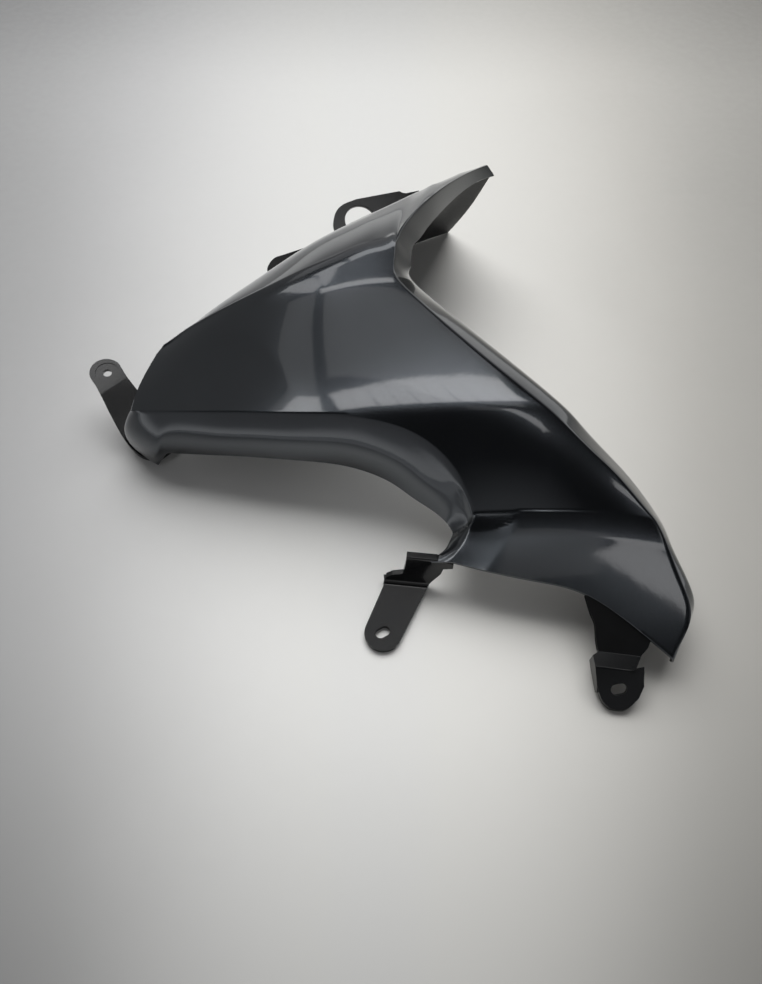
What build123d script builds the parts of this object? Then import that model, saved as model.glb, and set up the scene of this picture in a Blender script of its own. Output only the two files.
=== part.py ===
from build123d import *
import math
import os

import numpy as np

os.makedirs("parts", exist_ok=True)

# ---------------------------------------------------------------- dimensions (mm, degrees)
WALL = 2.6            # moulded wall of the shell
TIP_WALL = 0.9        # wall where the wing runs out to its nose
NARROW = 3.0          # spacing of skin points under which neighbouring wall steps are evened out
TAB_T = 3.0           # thickness of every tab
LEFT_HOLE_R = 3.0     # round hole of the left tab
RING_HOLE_R = 12.6    # large hole of the ring lug
SLOT_L = 9.2          # overall slot length, both lower tabs
SLOT_W = 6.2          # slot width, both lower tabs
LEFT_TIP_R = 10.9     # rounded end of the left tab
LEFT_RISE = 30.2      # rise of the left tab from its root to the fold
LEFT_TIP_RISE = 10.0  # rise of the left tab's end plate
CENTRE_END_R = 11.3   # rounded end of the lower-centre tab
CENTRE_LEDGE_Z = 25.0 # height of the ledge above the lower-centre tab
RIGHT_SHELF_Z = 14.6  # height of the shelf of the lower-right tab
RIGHT_PLATE_SLOPE = 29.7  # fall of the lower-right tab's plate
RIGHT_SHELF_RISE = 0.9  # rise of that shelf towards the web
RIGHT_WEB_TOP = 25.4  # height of the upper end of the web, inside the wall of the leg
RING_RISE = 28.0      # rise of the ring lug away from the panel
SMALL_RISE = 20.0     # rise of the small flange tab
SHIFT = Vector(8.11, -320.67, 0)  # tab drawings are moved by this much into the panel frame

# Points the outer skin passes through, row by row, in the panel frame.
# Columns run from the left end to the right edge; the back edge and the ridge run on to the wing nose.
ROWS = {
    "back_edge": (0, [
        (-136.53, 20.48, 53.12), (-128.53, 25.66, 55.72), (-118.83, 32.66, 59.69), (-100.83, 45.88, 66.51),
        (-76.85, 64.33, 71.50), (-50.05, 82.34, 78.62), (-30.44, 94.78, 82.61), (-15.45, 104.18, 84.20),
        (-2.36, 112.91, 84.78), (10.93, 122.20, 84.63), (23.08, 131.80, 83.96), (31.06, 137.98, 83.90),
        (38.89, 140.04, 86.50), (48.94, 144.13, 88.60), (60.78, 151.71, 88.70), (74.34, 159.91, 88.20),
        (84.35, 166.18, 87.50),
    ]),
    "ridge": (0, [
        (-136.23, 17.48, 57.62), (-128.03, 21.66, 61.22), (-117.63, 27.06, 65.49), (-95.44, 34.59, 74.45),
        (-70.00, 42.75, 83.25), (-43.17, 52.79, 90.99), (-23.02, 59.77, 95.58), (-10.72, 64.98, 98.02),
        (0.30, 68.73, 99.45), (10.07, 71.56, 100.14), (18.55, 73.29, 100.71), (23.98, 86.34, 100.90),
        (31.67, 100.79, 99.50), (42.44, 116.89, 97.60), (55.09, 133.68, 95.20), (70.45, 150.43, 92.20),
        (85.44, 163.66, 89.00),
    ]),
    "face1": (0, [
        (-139.58, 12.99, 55.79), (-126.89, 16.18, 60.75), (-117.27, 20.33, 64.80), (-96.34, 29.60, 73.58),
        (-71.49, 35.95, 82.36), (-44.57, 41.69, 89.94), (-23.93, 46.99, 94.52), (-11.76, 50.19, 96.61),
        (-0.87, 52.84, 97.94), (8.75, 54.47, 98.55), (16.46, 55.29, 98.65),
    ]),
    "face2": (0, [
        (-141.46, 9.64, 54.65), (-128.31, 12.03, 59.55), (-118.55, 15.44, 63.44), (-97.26, 23.58, 72.01),
        (-72.79, 29.04, 80.36), (-45.23, 32.70, 87.62), (-24.33, 35.49, 91.76), (-11.57, 36.39, 93.44),
        (-0.77, 37.46, 94.51), (9.38, 38.20, 95.08), (18.26, 38.90, 95.27),
    ]),
    "face3": (0, [
        (-145.92, 0.34, 51.78), (-133.51, 1.45, 55.92), (-122.93, 2.99, 59.52), (-100.06, 6.11, 66.99),
        (-74.99, 7.41, 73.92), (-47.04, 7.84, 79.78), (-21.94, 8.02, 83.59), (-3.74, 8.23, 85.57), (13.10, 8.79, 86.74),
        (29.91, 9.63, 87.18), (45.57, 11.13, 86.95),
    ]),
    "face4": (0, [
        (-151.07, -13.38, 47.99), (-138.30, -13.73, 51.47), (-127.21, -13.72, 54.47), (-102.01, -14.73, 60.62),
        (-74.91, -16.24, 66.28), (-46.03, -17.86, 71.05), (-17.81, -19.01, 74.74), (6.27, -19.45, 77.11),
        (29.55, -19.43, 78.47), (53.45, -18.89, 78.76), (76.98, -17.14, 77.86),
    ]),
    "crease": (0, [
        (-153.38, -27.29, 44.80), (-140.06, -29.46, 47.41), (-124.94, -31.88, 50.12), (-99.49, -35.42, 54.30),
        (-72.17, -38.72, 58.28), (-43.02, -41.82, 61.92), (-13.86, -44.69, 64.85), (17.81, -45.83, 67.84),
        (48.58, -45.70, 69.93), (78.77, -44.29, 70.76), (106.38, -42.33, 69.72),
    ]),
    "scoop1": (6, [
        (18.41, -53.23, 63.62), (43.74, -54.25, 64.74), (69.02, -54.76, 65.18), (94.40, -54.72, 64.87),
        (120.19, -53.80, 63.39),
    ]),
    "scoop2": (6, [
        (41.35, -65.25, 57.60), (64.86, -66.23, 57.70), (88.36, -66.98, 57.45), (111.97, -67.43, 56.76),
        (135.91, -67.29, 55.25),
    ]),
    "scoop3": (6, [
        (55.93, -80.40, 47.64), (79.96, -80.74, 47.61), (103.93, -81.19, 47.76), (127.91, -81.56, 47.77),
        (151.95, -81.77, 47.54),
    ]),
    "valley": (6, [
        (64.76, -97.06, 34.11), (91.98, -96.52, 35.63), (117.73, -97.31, 36.99), (144.30, -99.46, 38.31),
        (170.20, -104.69, 39.01),
    ]),
    "leg1": (6, [
        (64.47, -103.86, 32.58), (90.21, -106.28, 33.23), (115.75, -107.60, 34.38), (146.22, -110.38, 35.73),
        (175.84, -116.76, 36.35),
    ]),
    "leg2": (6, [
        (60.64, -111.42, 30.06), (84.37, -114.58, 30.90), (112.07, -117.66, 31.64), (145.08, -122.74, 32.45),
        (181.44, -138.81, 30.74),
    ]),
    "leg3": (6, [
        (55.62, -118.91, 27.53), (77.98, -123.37, 28.40), (107.19, -128.70, 28.51), (140.39, -136.46, 28.43),
        (185.36, -160.00, 24.81),
    ]),
    "leg_end": (6, [
        (50.67, -125.67, 25.00), (71.67, -132.03, 25.90), (101.87, -138.69, 25.56), (132.99, -149.28, 24.37),
        (173.46, -181.73, 17.17),
    ]),
    "front1": (0, [
        (-161.46, -27.53, 30.00), (-142.80, -39.14, 31.99), (-128.96, -38.86, 38.86), (-101.50, -42.40, 43.97),
        (-73.68, -45.85, 47.96), (-44.13, -49.40, 51.06), (-14.91, -53.04, 52.86), (15.09, -61.46, 51.21),
        (35.69, -71.86, 46.02), (50.49, -84.52, 38.68), (61.04, -98.40, 29.78), (59.83, -105.73, 29.92),
        (56.17, -112.97, 28.11), (51.17, -119.44, 26.30), (46.43, -125.28, 24.66),
    ]),
    "front2": (0, [
        (-164.97, -27.42, 14.50), (-144.55, -42.68, 16.58), (-132.38, -41.74, 27.60), (-103.09, -46.20, 33.64),
        (-74.86, -49.98, 37.64), (-44.91, -53.85, 40.19), (-15.31, -57.84, 40.86), (12.93, -66.56, 38.79),
        (31.41, -76.58, 34.43), (46.33, -87.70, 29.73), (56.80, -99.94, 25.46), (55.51, -106.79, 25.96),
        (51.96, -113.98, 25.30), (46.90, -119.72, 24.65), (42.30, -124.90, 24.33),
    ]),
    "front3": (0, [
        (-161.50, -27.81, 0.70), (-145.32, -39.91, 0.70), (-135.27, -40.40, 16.00), (-104.30, -46.80, 23.00),
        (-75.71, -51.09, 27.00), (-45.39, -55.16, 29.00), (-15.02, -59.08, 28.50), (11.94, -68.51, 26.00),
        (28.43, -79.45, 22.50), (43.38, -89.99, 20.50), (51.89, -101.72, 21.00), (51.20, -107.85, 22.00),
        (47.75, -115.00, 22.50), (42.64, -120.00, 23.00), (38.18, -124.52, 24.00),
    ]),
    "back1": (0, [
        (-137.90, 21.50, 48.49), (-130.77, 28.32, 50.11), (-121.57, 36.52, 52.37), (-102.80, 49.38, 56.69),
        (-79.05, 66.09, 61.22), (-53.63, 85.81, 64.19), (-35.31, 100.12, 65.05), (-21.08, 110.41, 65.09),
        (-8.71, 120.06, 64.46), (3.87, 130.28, 63.33), (15.32, 140.82, 62.39), (24.54, 145.30, 64.58),
        (33.70, 149.80, 66.53), (44.51, 155.91, 68.07), (56.81, 160.99, 71.72), (70.69, 166.78, 74.86),
        (91.11, 168.33, 80.00),
    ]),
    "back2": (0, [
        (-138.60, 23.05, 39.45), (-131.94, 30.96, 40.34), (-123.23, 40.25, 41.54), (-105.15, 54.66, 42.23),
        (-82.09, 72.92, 43.03), (-57.57, 94.67, 41.54), (-40.15, 110.99, 39.00), (-26.43, 122.45, 37.48),
        (-14.58, 133.26, 35.63), (-2.51, 144.65, 33.54), (8.42, 156.36, 32.34), (18.37, 160.90, 34.41),
        (28.24, 165.45, 36.34), (38.95, 170.87, 38.04), (50.31, 176.17, 40.10), (62.51, 181.84, 41.90),
        (79.41, 185.33, 40.00),
    ]),
    "back3": (0, [
        (-138.92, 23.74, 30.00), (-132.65, 32.49, 30.00), (-124.32, 42.63, 30.00), (-106.82, 58.34, 27.00),
        (-84.35, 77.90, 24.00), (-60.61, 101.40, 18.00), (-43.98, 119.48, 12.00), (-30.78, 132.11, 9.00),
        (-19.45, 144.09, 6.00), (-7.90, 156.66, 3.00), (2.51, 169.53, 1.60), (12.89, 174.83, 1.60),
        (23.28, 180.13, 1.60), (33.66, 185.43, 1.60), (44.04, 190.73, 1.60), (54.43, 196.03, 1.60),
        (64.81, 201.33, 1.60),
    ]),
    "left1": (1, [
        (-138.68, 15.13, 47.51), (-140.79, 10.40, 45.93), (-143.11, 5.24, 43.52), (-148.40, -3.40, 37.89),
        (-153.20, -15.31, 33.79),
    ]),
    "left2": (1, [
        (-141.11, 15.26, 37.76), (-144.04, 8.60, 35.47), (-147.08, 1.73, 31.76), (-151.61, -6.89, 23.95),
        (-155.89, -17.14, 19.65),
    ]),
    "left3": (1, [
        (-142.68, 15.14, 28.00), (-146.45, 6.55, 25.00), (-150.21, -2.04, 20.00), (-153.97, -10.63, 10.00),
        (-157.74, -19.22, 5.50),
    ]),
    "flange1": (0, [
        (92.05, 166.16, 79.00), (75.14, 155.95, 78.20), (59.57, 138.43, 77.70), (48.56, 120.05, 79.60),
        (40.13, 103.89, 81.50), (34.55, 91.18, 83.40), (29.67, 79.70, 85.96), (28.07, 64.94, 84.40),
        (29.09, 49.56, 83.35), (56.68, 22.32, 77.34), (88.13, -3.91, 68.53), (119.00, -32.94, 61.24),
        (133.65, -45.00, 52.50), (149.35, -59.25, 43.50), (164.19, -75.15, 36.50), (178.48, -100.15, 30.91),
        (183.21, -118.96, 28.94), (190.69, -142.16, 24.03), (188.87, -159.13, 19.56), (174.93, -183.09, 16.02),
    ]),
    "flange2": (7, [
        (28.57, 65.84, 81.80), (29.80, 50.27, 78.85), (57.38, 23.04, 70.34), (88.77, -3.14, 60.53),
        (119.80, -32.33, 53.24), (134.52, -44.50, 44.50), (150.24, -58.80, 35.50), (165.10, -74.74, 28.50),
        (179.36, -99.67, 22.91), (184.18, -119.20, 20.94), (191.65, -142.43, 17.37), (189.81, -158.79, 14.23),
        (175.93, -183.11, 12.02),
    ]),
}

# ---------------------------------------------------------------- names of the skin's grid
POINT = {}
for row, (first, pts) in ROWS.items():
    for k, p in enumerate(pts):
        POINT[row, first + k] = np.array(p, float)

FACE_ROWS = ["ridge", "face1", "face2", "face3", "face4", "crease"]
LOWER_ROWS = ["crease", "scoop1", "scoop2", "scoop3", "valley", "leg1", "leg2", "leg3", "leg_end"]
FRONT_TOP = [("crease", i) for i in range(7)] + [(r, 6) for r in LOWER_ROWS[1:]]
LEFT_TOP = [("back_edge", 0)] + [(r, 0) for r in FACE_ROWS]
RIGHT_TOP = [("ridge", i) for i in range(16, 9, -1)] + [(r, 10) for r in FACE_ROWS[1:] + LOWER_ROWS[1:]]

names, index, quads = [], {}, []


def vertex(n):
    if n not in index:
        index[n] = len(names)
        names.append(n)
    return index[n]


def quad(*corners):
    quads.append([vertex(c) for c in corners])


def left_name(j, k):
    if k == 0:
        return ("back%d" % j, 0)
    if k == 6:
        return ("front%d" % j, 0)
    return ("left%d" % j, k)


for i in range(16):
    quad(("back_edge", i), ("ridge", i), ("ridge", i + 1), ("back_edge", i + 1))
for r0, r1 in zip(FACE_ROWS[:-1], FACE_ROWS[1:]):
    for i in range(10):
        quad((r0, i), (r1, i), (r1, i + 1), (r0, i + 1))
for r0, r1 in zip(LOWER_ROWS[:-1], LOWER_ROWS[1:]):
    for i in range(6, 10):
        quad((r0, i), (r1, i), (r1, i + 1), (r0, i + 1))
for k in range(14):
    p, q = FRONT_TOP[k], FRONT_TOP[k + 1]
    for j in (1, 2, 3):
        quad(p, ("front%d" % j, k), ("front%d" % j, k + 1), q)
        p, q = ("front%d" % j, k), ("front%d" % j, k + 1)
for i in range(16):
    p, q = ("back_edge", i), ("back_edge", i + 1)
    for j in (1, 2, 3):
        quad(p, q, ("back%d" % j, i + 1), ("back%d" % j, i))
        p, q = ("back%d" % j, i), ("back%d" % j, i + 1)
for k in range(6):
    p, q = LEFT_TOP[k], LEFT_TOP[k + 1]
    for j in (1, 2, 3):
        quad(p, left_name(j, k), left_name(j, k + 1), q)
        p, q = left_name(j, k), left_name(j, k + 1)
for k in range(len(RIGHT_TOP) - 1):
    quad(RIGHT_TOP[k], RIGHT_TOP[k + 1], ("flange1", k + 1), ("flange1", k))
    if k >= 7:
        quad(("flange1", k), ("flange1", k + 1), ("flange2", k + 1), ("flange2", k))
quad(("back_edge", 16), ("ridge", 16), ("flange1", 0), ("back1", 16))
QUADS = np.array(quads)
TARGET = np.array([POINT[n] for n in names])

# folded edges of the skin
SHARP = set()


def fold(a, b):
    i, j = index[a], index[b]
    SHARP.add((min(i, j), max(i, j)))


for i in range(7):
    fold(("crease", i), ("crease", i + 1))
for i in (0, 1, 2, 12, 13, 14, 15):
    fold(("back_edge", i), ("back_edge", i + 1))
for i in range(10, 16):
    fold(("ridge", i), ("ridge", i + 1))
for a, b in zip(RIGHT_TOP[6:-1], RIGHT_TOP[7:]):
    fold(a, b)
for a, b in zip(LEFT_TOP[:-1], LEFT_TOP[1:]):
    fold(a, b)
for r0, r1 in zip(LOWER_ROWS[3:-1], LOWER_ROWS[4:]):
    fold((r0, 6), (r1, 6))
for r0, r1 in zip(LOWER_ROWS[4:-1], LOWER_ROWS[5:]):
    fold((r0, 7), (r1, 7))
for i in range(6, 10):
    fold(("valley", i), ("valley", i + 1))
fold(("back_edge", 16), ("ridge", 16))
fold(("ridge", 16), ("flange1", 0))
fold(("back_edge", 16), ("back1", 16))
CORNER = np.zeros(len(names), bool)
for n in (("back_edge", 0), ("crease", 0), ("front3", 1), ("front3", 2), ("back3", 16), ("flange1", 0), ("leg_end", 10), ("leg_end", 6),
          ("front3", 14), ("flange2", 19), ("flange2", 7)):
    CORNER[index[n]] = True


# ---------------------------------------------------------------- smooth skin through the points
def edge_table(F):
    e = np.concatenate([F[:, [0, 1]], F[:, [1, 2]], F[:, [2, 3]], F[:, [3, 0]]])
    u, inv = np.unique(np.sort(e, 1), axis=0, return_inverse=True)
    inv = inv.ravel()
    return u, inv.reshape(4, len(F)).T, np.bincount(inv, minlength=len(u)), np.tile(np.arange(len(F)), 4), inv


def sharp_mask(u, count, sharp):
    return np.array([c == 1 or (int(a), int(b)) in sharp for (a, b), c in zip(u, count)])


def split(V, F, sharp, corner):
    nv = len(V)
    u, fe, count, fi, inv = edge_table(F)
    ne = len(u)
    s = sharp_mask(u, count, sharp)
    centre = V[F].mean(1)
    fs = np.zeros((ne, 3))
    np.add.at(fs, inv, centre[fi])
    mid = (V[u[:, 0]] + V[u[:, 1]]) / 2
    ep = np.where(s[:, None], mid, (2 * mid + fs) / 4)
    n = np.zeros(nv)
    np.add.at(n, u.ravel(), 1)
    r = np.zeros((nv, 3))
    np.add.at(r, u[:, 0], mid)
    np.add.at(r, u[:, 1], mid)
    q = np.zeros((nv, 3))
    nf = np.zeros(nv)
    for k in range(4):
        np.add.at(q, F[:, k], centre)
        np.add.at(nf, F[:, k], 1)
    n = n[:, None]
    smooth = (q / nf[:, None] + 2 * r / n + (n - 3) * V) / n
    ns = np.zeros(nv)
    nb = np.zeros((nv, 3))
    us = u[s]
    np.add.at(ns, us.ravel(), 1)
    np.add.at(nb, us[:, 0], V[us[:, 1]])
    np.add.at(nb, us[:, 1], V[us[:, 0]])
    vp = np.where((ns == 2)[:, None], (6 * V + nb) / 8, smooth)
    vp = np.where(((ns >= 3) | corner)[:, None], V, vp)
    m = len(F)
    f = nv + ne + np.arange(m)
    e0, e1, e2, e3 = [nv + fe[:, k] for k in range(4)]
    nF = np.stack([np.stack([F[:, 0], e0, f, e3], 1), np.stack([e0, F[:, 1], e1, f], 1),
                   np.stack([f, e1, F[:, 2], e2], 1), np.stack([e3, f, e2, F[:, 3]], 1)], 1).reshape(-1, 4)
    new = set()
    for k in np.nonzero(s & (count > 1))[0]:
        a, b = int(u[k, 0]), int(u[k, 1])
        new.add((a, nv + int(k)))
        new.add((b, nv + int(k)))
    return np.concatenate([vp, ep, centre]), nF, new, np.concatenate([corner, np.zeros(ne + m, bool)])


def settle(V, F, sharp, corner):
    nv = len(V)
    u, fe, count, fi, inv = edge_table(F)
    s = sharp_mask(u, count, sharp)
    n = np.zeros(nv)
    np.add.at(n, u.ravel(), 1)
    es = np.zeros((nv, 3))
    np.add.at(es, u[:, 0], V[u[:, 1]])
    np.add.at(es, u[:, 1], V[u[:, 0]])
    ds = np.zeros((nv, 3))
    for k in range(4):
        np.add.at(ds, F[:, k], V[F[:, (k + 2) % 4]])
    n = n[:, None]
    smooth = (n * n * V + 4 * es + ds) / (n * (n + 5))
    ns = np.zeros(nv)
    nb = np.zeros((nv, 3))
    us = u[s]
    np.add.at(ns, us.ravel(), 1)
    np.add.at(nb, us[:, 0], V[us[:, 1]])
    np.add.at(nb, us[:, 1], V[us[:, 0]])
    out = np.where((ns == 2)[:, None], (4 * V + nb) / 6, smooth)
    return np.where(((ns >= 3) | corner)[:, None], V, out)


LEVEL = 3


def skin_through(target):
    """Dense points of the smooth skin that passes through the target points."""
    V = target.copy()
    for k in range(17):
        W, F, S, C = V, QUADS, SHARP, CORNER
        for _ in range(LEVEL):
            W, F, S, C = split(W, F, S, C)
        P = settle(W, F, S, C)
        if k < 16:
            V = V + 0.75 * (target - P[:len(target)])
    return P, F


LIMIT, F = skin_through(TARGET)

# ---------------------------------------------------------------- inner skin: the wall thickness inside the outer skin
fn = np.cross(LIMIT[F[:, 2]] - LIMIT[F[:, 0]], LIMIT[F[:, 3]] - LIMIT[F[:, 1]])
fn /= np.linalg.norm(fn, axis=1)[:, None]
around = [[] for _ in TARGET]
for k, f in enumerate(F):
    for i in f:
        if i < len(TARGET):
            around[i].append(k)
nose = POINT["ridge", 16]
step = np.zeros_like(TARGET)
for i, fs in enumerate(around):
    d = np.linalg.norm(TARGET[i] - nose)
    t = TIP_WALL + (WALL - TIP_WALL) * min(1.0, max(0.0, (d - 4.0) / 30.0))
    o = np.linalg.pinv(fn[fs], rcond=0.16) @ (-t * np.ones(len(fs)))
    ln = np.linalg.norm(o)
    step[i] = o * min(1.0, 1.7 * t / ln)
u0, fe0, count0, _, _ = edge_table(QUADS)
for _ in range(3):
    s, w = step * 1.0, np.ones((len(step), 1))
    for a, b in u0:
        k = math.exp(-np.linalg.norm(TARGET[a] - TARGET[b]) / NARROW)
        s[a] += k * step[b]
        s[b] += k * step[a]
        w[a] += k
        w[b] += k
    step = s / w
INNER, _ = skin_through(TARGET + step)

# ---------------------------------------------------------------- patches
N8 = 2 ** LEVEL
order = np.zeros((N8, N8), int)
for c in range(4 ** LEVEL):
    iu = iv = 0
    for b in range(LEVEL - 1, -1, -1):
        q = (c >> (2 * b)) & 3
        iu = iu * 2 + (1 if q in (1, 2) else 0)
        iv = iv * 2 + (1 if q in (2, 3) else 0)
    order[iu, iv] = c
t8 = np.linspace(0, 1, N8 + 1)
B8 = np.stack([(1 - t8) ** 3, 3 * t8 * (1 - t8) ** 2, 3 * t8 ** 2 * (1 - t8), t8 ** 3], 1)
EDGE_FIT = np.linalg.pinv(B8[1:-1, 1:3])
IN_FIT = np.linalg.pinv(np.einsum("ai,bj->abij", B8[1:-1, 1:3], B8[1:-1, 1:3]).reshape((N8 - 1) ** 2, 4))


def grid_ids(face):
    g = np.zeros((N8 + 1, N8 + 1), int)
    for iu in range(N8):
        for iv in range(N8):
            f = F[face * 4 ** LEVEL + order[iu, iv]]
            g[iu, iv], g[iu + 1, iv], g[iu + 1, iv + 1], g[iu, iv + 1] = f
    return g


def curve(pts):
    rest = pts[1:-1] - B8[1:-1, :1] * pts[0] - B8[1:-1, 3:] * pts[-1]
    mid = EDGE_FIT @ rest
    return np.stack([pts[0], mid[0], mid[1], pts[-1]])


def edge_curve(ids, P):
    if ids[0] < ids[-1]:
        return curve(P[ids])
    return curve(P[ids[::-1]])[::-1]


def patch(face, P):
    g = grid_ids(face)
    net = np.zeros((4, 4, 3))
    net[:, 0] = edge_curve(g[:, 0], P)
    net[:, 3] = edge_curve(g[:, -1], P)
    net[0, :] = edge_curve(g[0, :], P)
    net[3, :] = edge_curve(g[-1, :], P)
    full = np.einsum("ai,bj,ijk->abk", B8, B8, net)
    rest = (P[g] - full)[1:-1, 1:-1].reshape(-1, 3)
    net[1:3, 1:3] = (IN_FIT @ rest).reshape(2, 2, 3)
    return net


def bezier(net):
    return Face.make_bezier_surface([[Vector(*p) for p in row] for row in net])


skin = []
for f in range(len(QUADS)):
    skin.append(bezier(patch(f, LIMIT)))
    skin.append(bezier(patch(f, INNER)[::-1]))
for f in range(len(QUADS)):
    g = grid_ids(f)
    sides = (g[:, 0], g[-1, :], g[::-1, -1], g[0, ::-1])
    for k in range(4):
        if count0[fe0[f, k]] == 1:
            skin.append(bezier(np.stack([edge_curve(sides[k], INNER), edge_curve(sides[k], LIMIT)])))
shell = Solid(Shell(skin))
if shell.volume < 0:
    shell = Solid(Shell([Face(s.wrapped.Reversed()) for s in skin]))
print("shell volume", shell.volume, "valid", shell.is_valid)


# ---------------------------------------------------------------- tabs
def vec(a):
    return Vector(float(a[0]), float(a[1]), float(a[2]))


UP = np.array([0.0, 0.0, 1.0])


def bent_strip(along, across, line, bends, lo, hi):
    """Folded strip: upper line (distance along, height), bend radii of the upper side, width lo..hi across."""
    pts = np.array(line, float)
    d = np.diff(pts, axis=0)
    d /= np.linalg.norm(d, axis=1)[:, None]
    nrm = np.stack([d[:, 1], -d[:, 0]], 1)
    low = [pts[0] + TAB_T * nrm[0]]
    for k in range(1, len(pts) - 1):
        m = nrm[k - 1] + nrm[k]
        low.append(pts[k] + TAB_T * m / (m @ nrm[k]))
    low.append(pts[-1] + TAB_T * nrm[-1])
    ring = list(pts) + low[::-1]
    place = lambda q: vec(along * q[0] + UP * q[1] + across * lo)
    face = Face(Wire.make_polygon([place(q) for q in ring], close=True))
    for k, r in bends.items():
        turn = d[k - 1][0] * d[k][1] - d[k - 1][1] * d[k][0]
        r_low = r + TAB_T if turn > 0 else max(r - TAB_T, 0.4)
        for q, rad in ((pts[k], r), (low[k], r_low)):
            corner = min(face.vertices(), key=lambda v: (v.center() - place(q)).length)
            face = face.fillet_2d(rad, [corner])
    return Solid.extrude(face, vec(across * (hi - lo)))


def flat_wire(place, pieces):
    """Closed outline from ("line", p, q) and ("curve", points) pieces."""
    edges = []
    for kind, *a in pieces:
        if kind == "line":
            edges.append(Edge.make_line(place(a[0]), place(a[1])))
        elif kind == "arc":
            edges.append(Edge.make_three_point_arc(place(a[0]), place(a[1]), place(a[2])))
        else:
            edges.append(Edge.make_spline([place(q) for q in a[0]]))
    return Wire(edges)


def polyline_pieces(pts):
    return [("line", p, q) for p, q in zip(pts[:-1], pts[1:])]


def slot(centre, direction, normal):
    """Round-ended slot cutter through a plate."""
    x = vec(direction).normalized()
    pl = Plane(origin=vec(centre) - vec(normal) * 8, x_dir=x, z_dir=vec(normal))
    r, h = SLOT_W / 2, SLOT_L / 2 - SLOT_W / 2
    w = Wire([
        Edge.make_line(pl.from_local_coords(Vector(-h, -r, 0)), pl.from_local_coords(Vector(h, -r, 0))),
        Edge.make_three_point_arc(pl.from_local_coords(Vector(h, -r, 0)), pl.from_local_coords(Vector(h + r, 0, 0)),
                                  pl.from_local_coords(Vector(h, r, 0))),
        Edge.make_line(pl.from_local_coords(Vector(h, r, 0)), pl.from_local_coords(Vector(-h, r, 0))),
        Edge.make_three_point_arc(pl.from_local_coords(Vector(-h, r, 0)), pl.from_local_coords(Vector(-h - r, 0, 0)),
                                  pl.from_local_coords(Vector(-h, -r, 0))),
    ])
    return Solid.extrude(Face(w), vec(normal) * 16)


def drill(centre, normal, r, depth=8):
    pl = Plane(origin=vec(centre) - vec(normal) * depth, z_dir=vec(normal))
    return Solid.make_cylinder(r, 2 * depth, pl)


# left tab: strip rising from the foot of the front wall, folded to an end plate with a round hole
q = math.sqrt(0.5)
lu, lv = np.array([-q, q, 0.0]), np.array([q, q, 0.0])
L_ROOT, L_FOLD = (319.0, 3.0), 362.5
fold_z = L_ROOT[1] + (L_FOLD - L_ROOT[0]) * math.tan(math.radians(LEFT_RISE))
tip_run = 30.0
left_strip = bent_strip(lu, lv, [(300, 3), L_ROOT, (L_FOLD, fold_z),
                                 (L_FOLD + tip_run, fold_z + tip_run * math.tan(math.radians(LEFT_TIP_RISE)))],
                        {1: 12.0, 2: 1.6}, 78, 120)
flat = lambda p: vec(lu * p[0] + lv * p[1] - UP * 5)
LC0 = (372.9, 104.15)
left_edge = [(372.9, 93.25), (362.5, 90.8), (352, 88.0), (342, 85.6), (334, 84.2), (327, 84.0), (320, 85.5),
             (314, 88.5), (309, 92.5)]
right_edge = [(309, 92.5), (309, 112), (345, 112.4), (362.5, 112.7), (372.9, 115.05)]
outline = Face(flat_wire(flat, [("curve", left_edge)] + polyline_pieces(right_edge) +
                         [("arc", (372.9, 115.05), (372.9 + LEFT_TIP_R, 104.15), (372.9, 93.25))]))
left_tab = left_strip & Solid.extrude(outline, vec(UP * 60))
ct, st = math.cos(math.radians(LEFT_TIP_RISE)), math.sin(math.radians(LEFT_TIP_RISE))
tip_n = UP * ct - lu * st
hole_at = lu * (L_FOLD + 11.2 * ct) + lv * 104.65 + UP * (fold_z + 11.2 * st)
left_tab = left_tab - drill(hole_at, tip_n, LEFT_HOLE_R)
dish = Solid.make_cylinder(8.0, 4.0, Plane(origin=vec(hole_at - tip_n * 0.4), z_dir=vec(tip_n)))
left_tab = left_tab - dish

# lower-centre tab: wall dropping from the end of the front wall to a flat plate with a slot
cf = np.array([0.99499, -0.1, 0.0])
cf /= np.linalg.norm(cf)
cp = np.array([cf[1], -cf[0], 0.0])
centre_strip = bent_strip(cp, cf, [(-202.6, CENTRE_LEDGE_Z), (-198.4, CENTRE_LEDGE_Z), (-191.6, TAB_T), (-138, TAB_T)],
                          {1: 1.2, 2: 3.5}, -40, 60)
front_view = [(-4.3, 30), (-4.8, 20), (-6, 11.2), (-12.5, 9.4), (-16.2, 6.8), (-17.5, 3.5), (-18, -1), (9.2, -1),
              (9.8, 3), (13.5, 8.5), (17, 13.5), (18.2, 18), (24, 19), (24, 22.6), (14, 24.4), (13, 30)]
fv = lambda p: vec(cp * -206 + cf * p[0] + UP * p[1])
wall_box = Solid.extrude(Face(Wire.make_polygon([fv(p) for p in front_view], close=True)), vec(cp * 15.2))
plan = lambda p: Vector(p[0], p[1], -1)
ce = (1.3, 158.9)
ca, sa = math.cos(math.radians(26)), math.sin(math.radians(26))
e_l = (ce[0] - CENTRE_END_R * ca, ce[1] + CENTRE_END_R * sa)
e_r = (ce[0] + CENTRE_END_R * ca, ce[1] - CENTRE_END_R * sa)
e_t = (ce[0] - CENTRE_END_R * sa, ce[1] - CENTRE_END_R * ca)
plate_pieces = polyline_pieces([e_r, (29.7, 190.2), (28.6, 193.2), (1.6, 196.0), (2.2, 191.2), e_l]) + [("arc", e_l, e_t, e_r)]
plate_box = Solid.extrude(Face(flat_wire(plan, plate_pieces)), vec(UP * 6.5))
centre_tab = centre_strip & (wall_box + plate_box)
centre_tab = centre_tab - slot((1.0, 159.2, 1.5), (0.87, 0.492, 0), UP)

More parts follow.
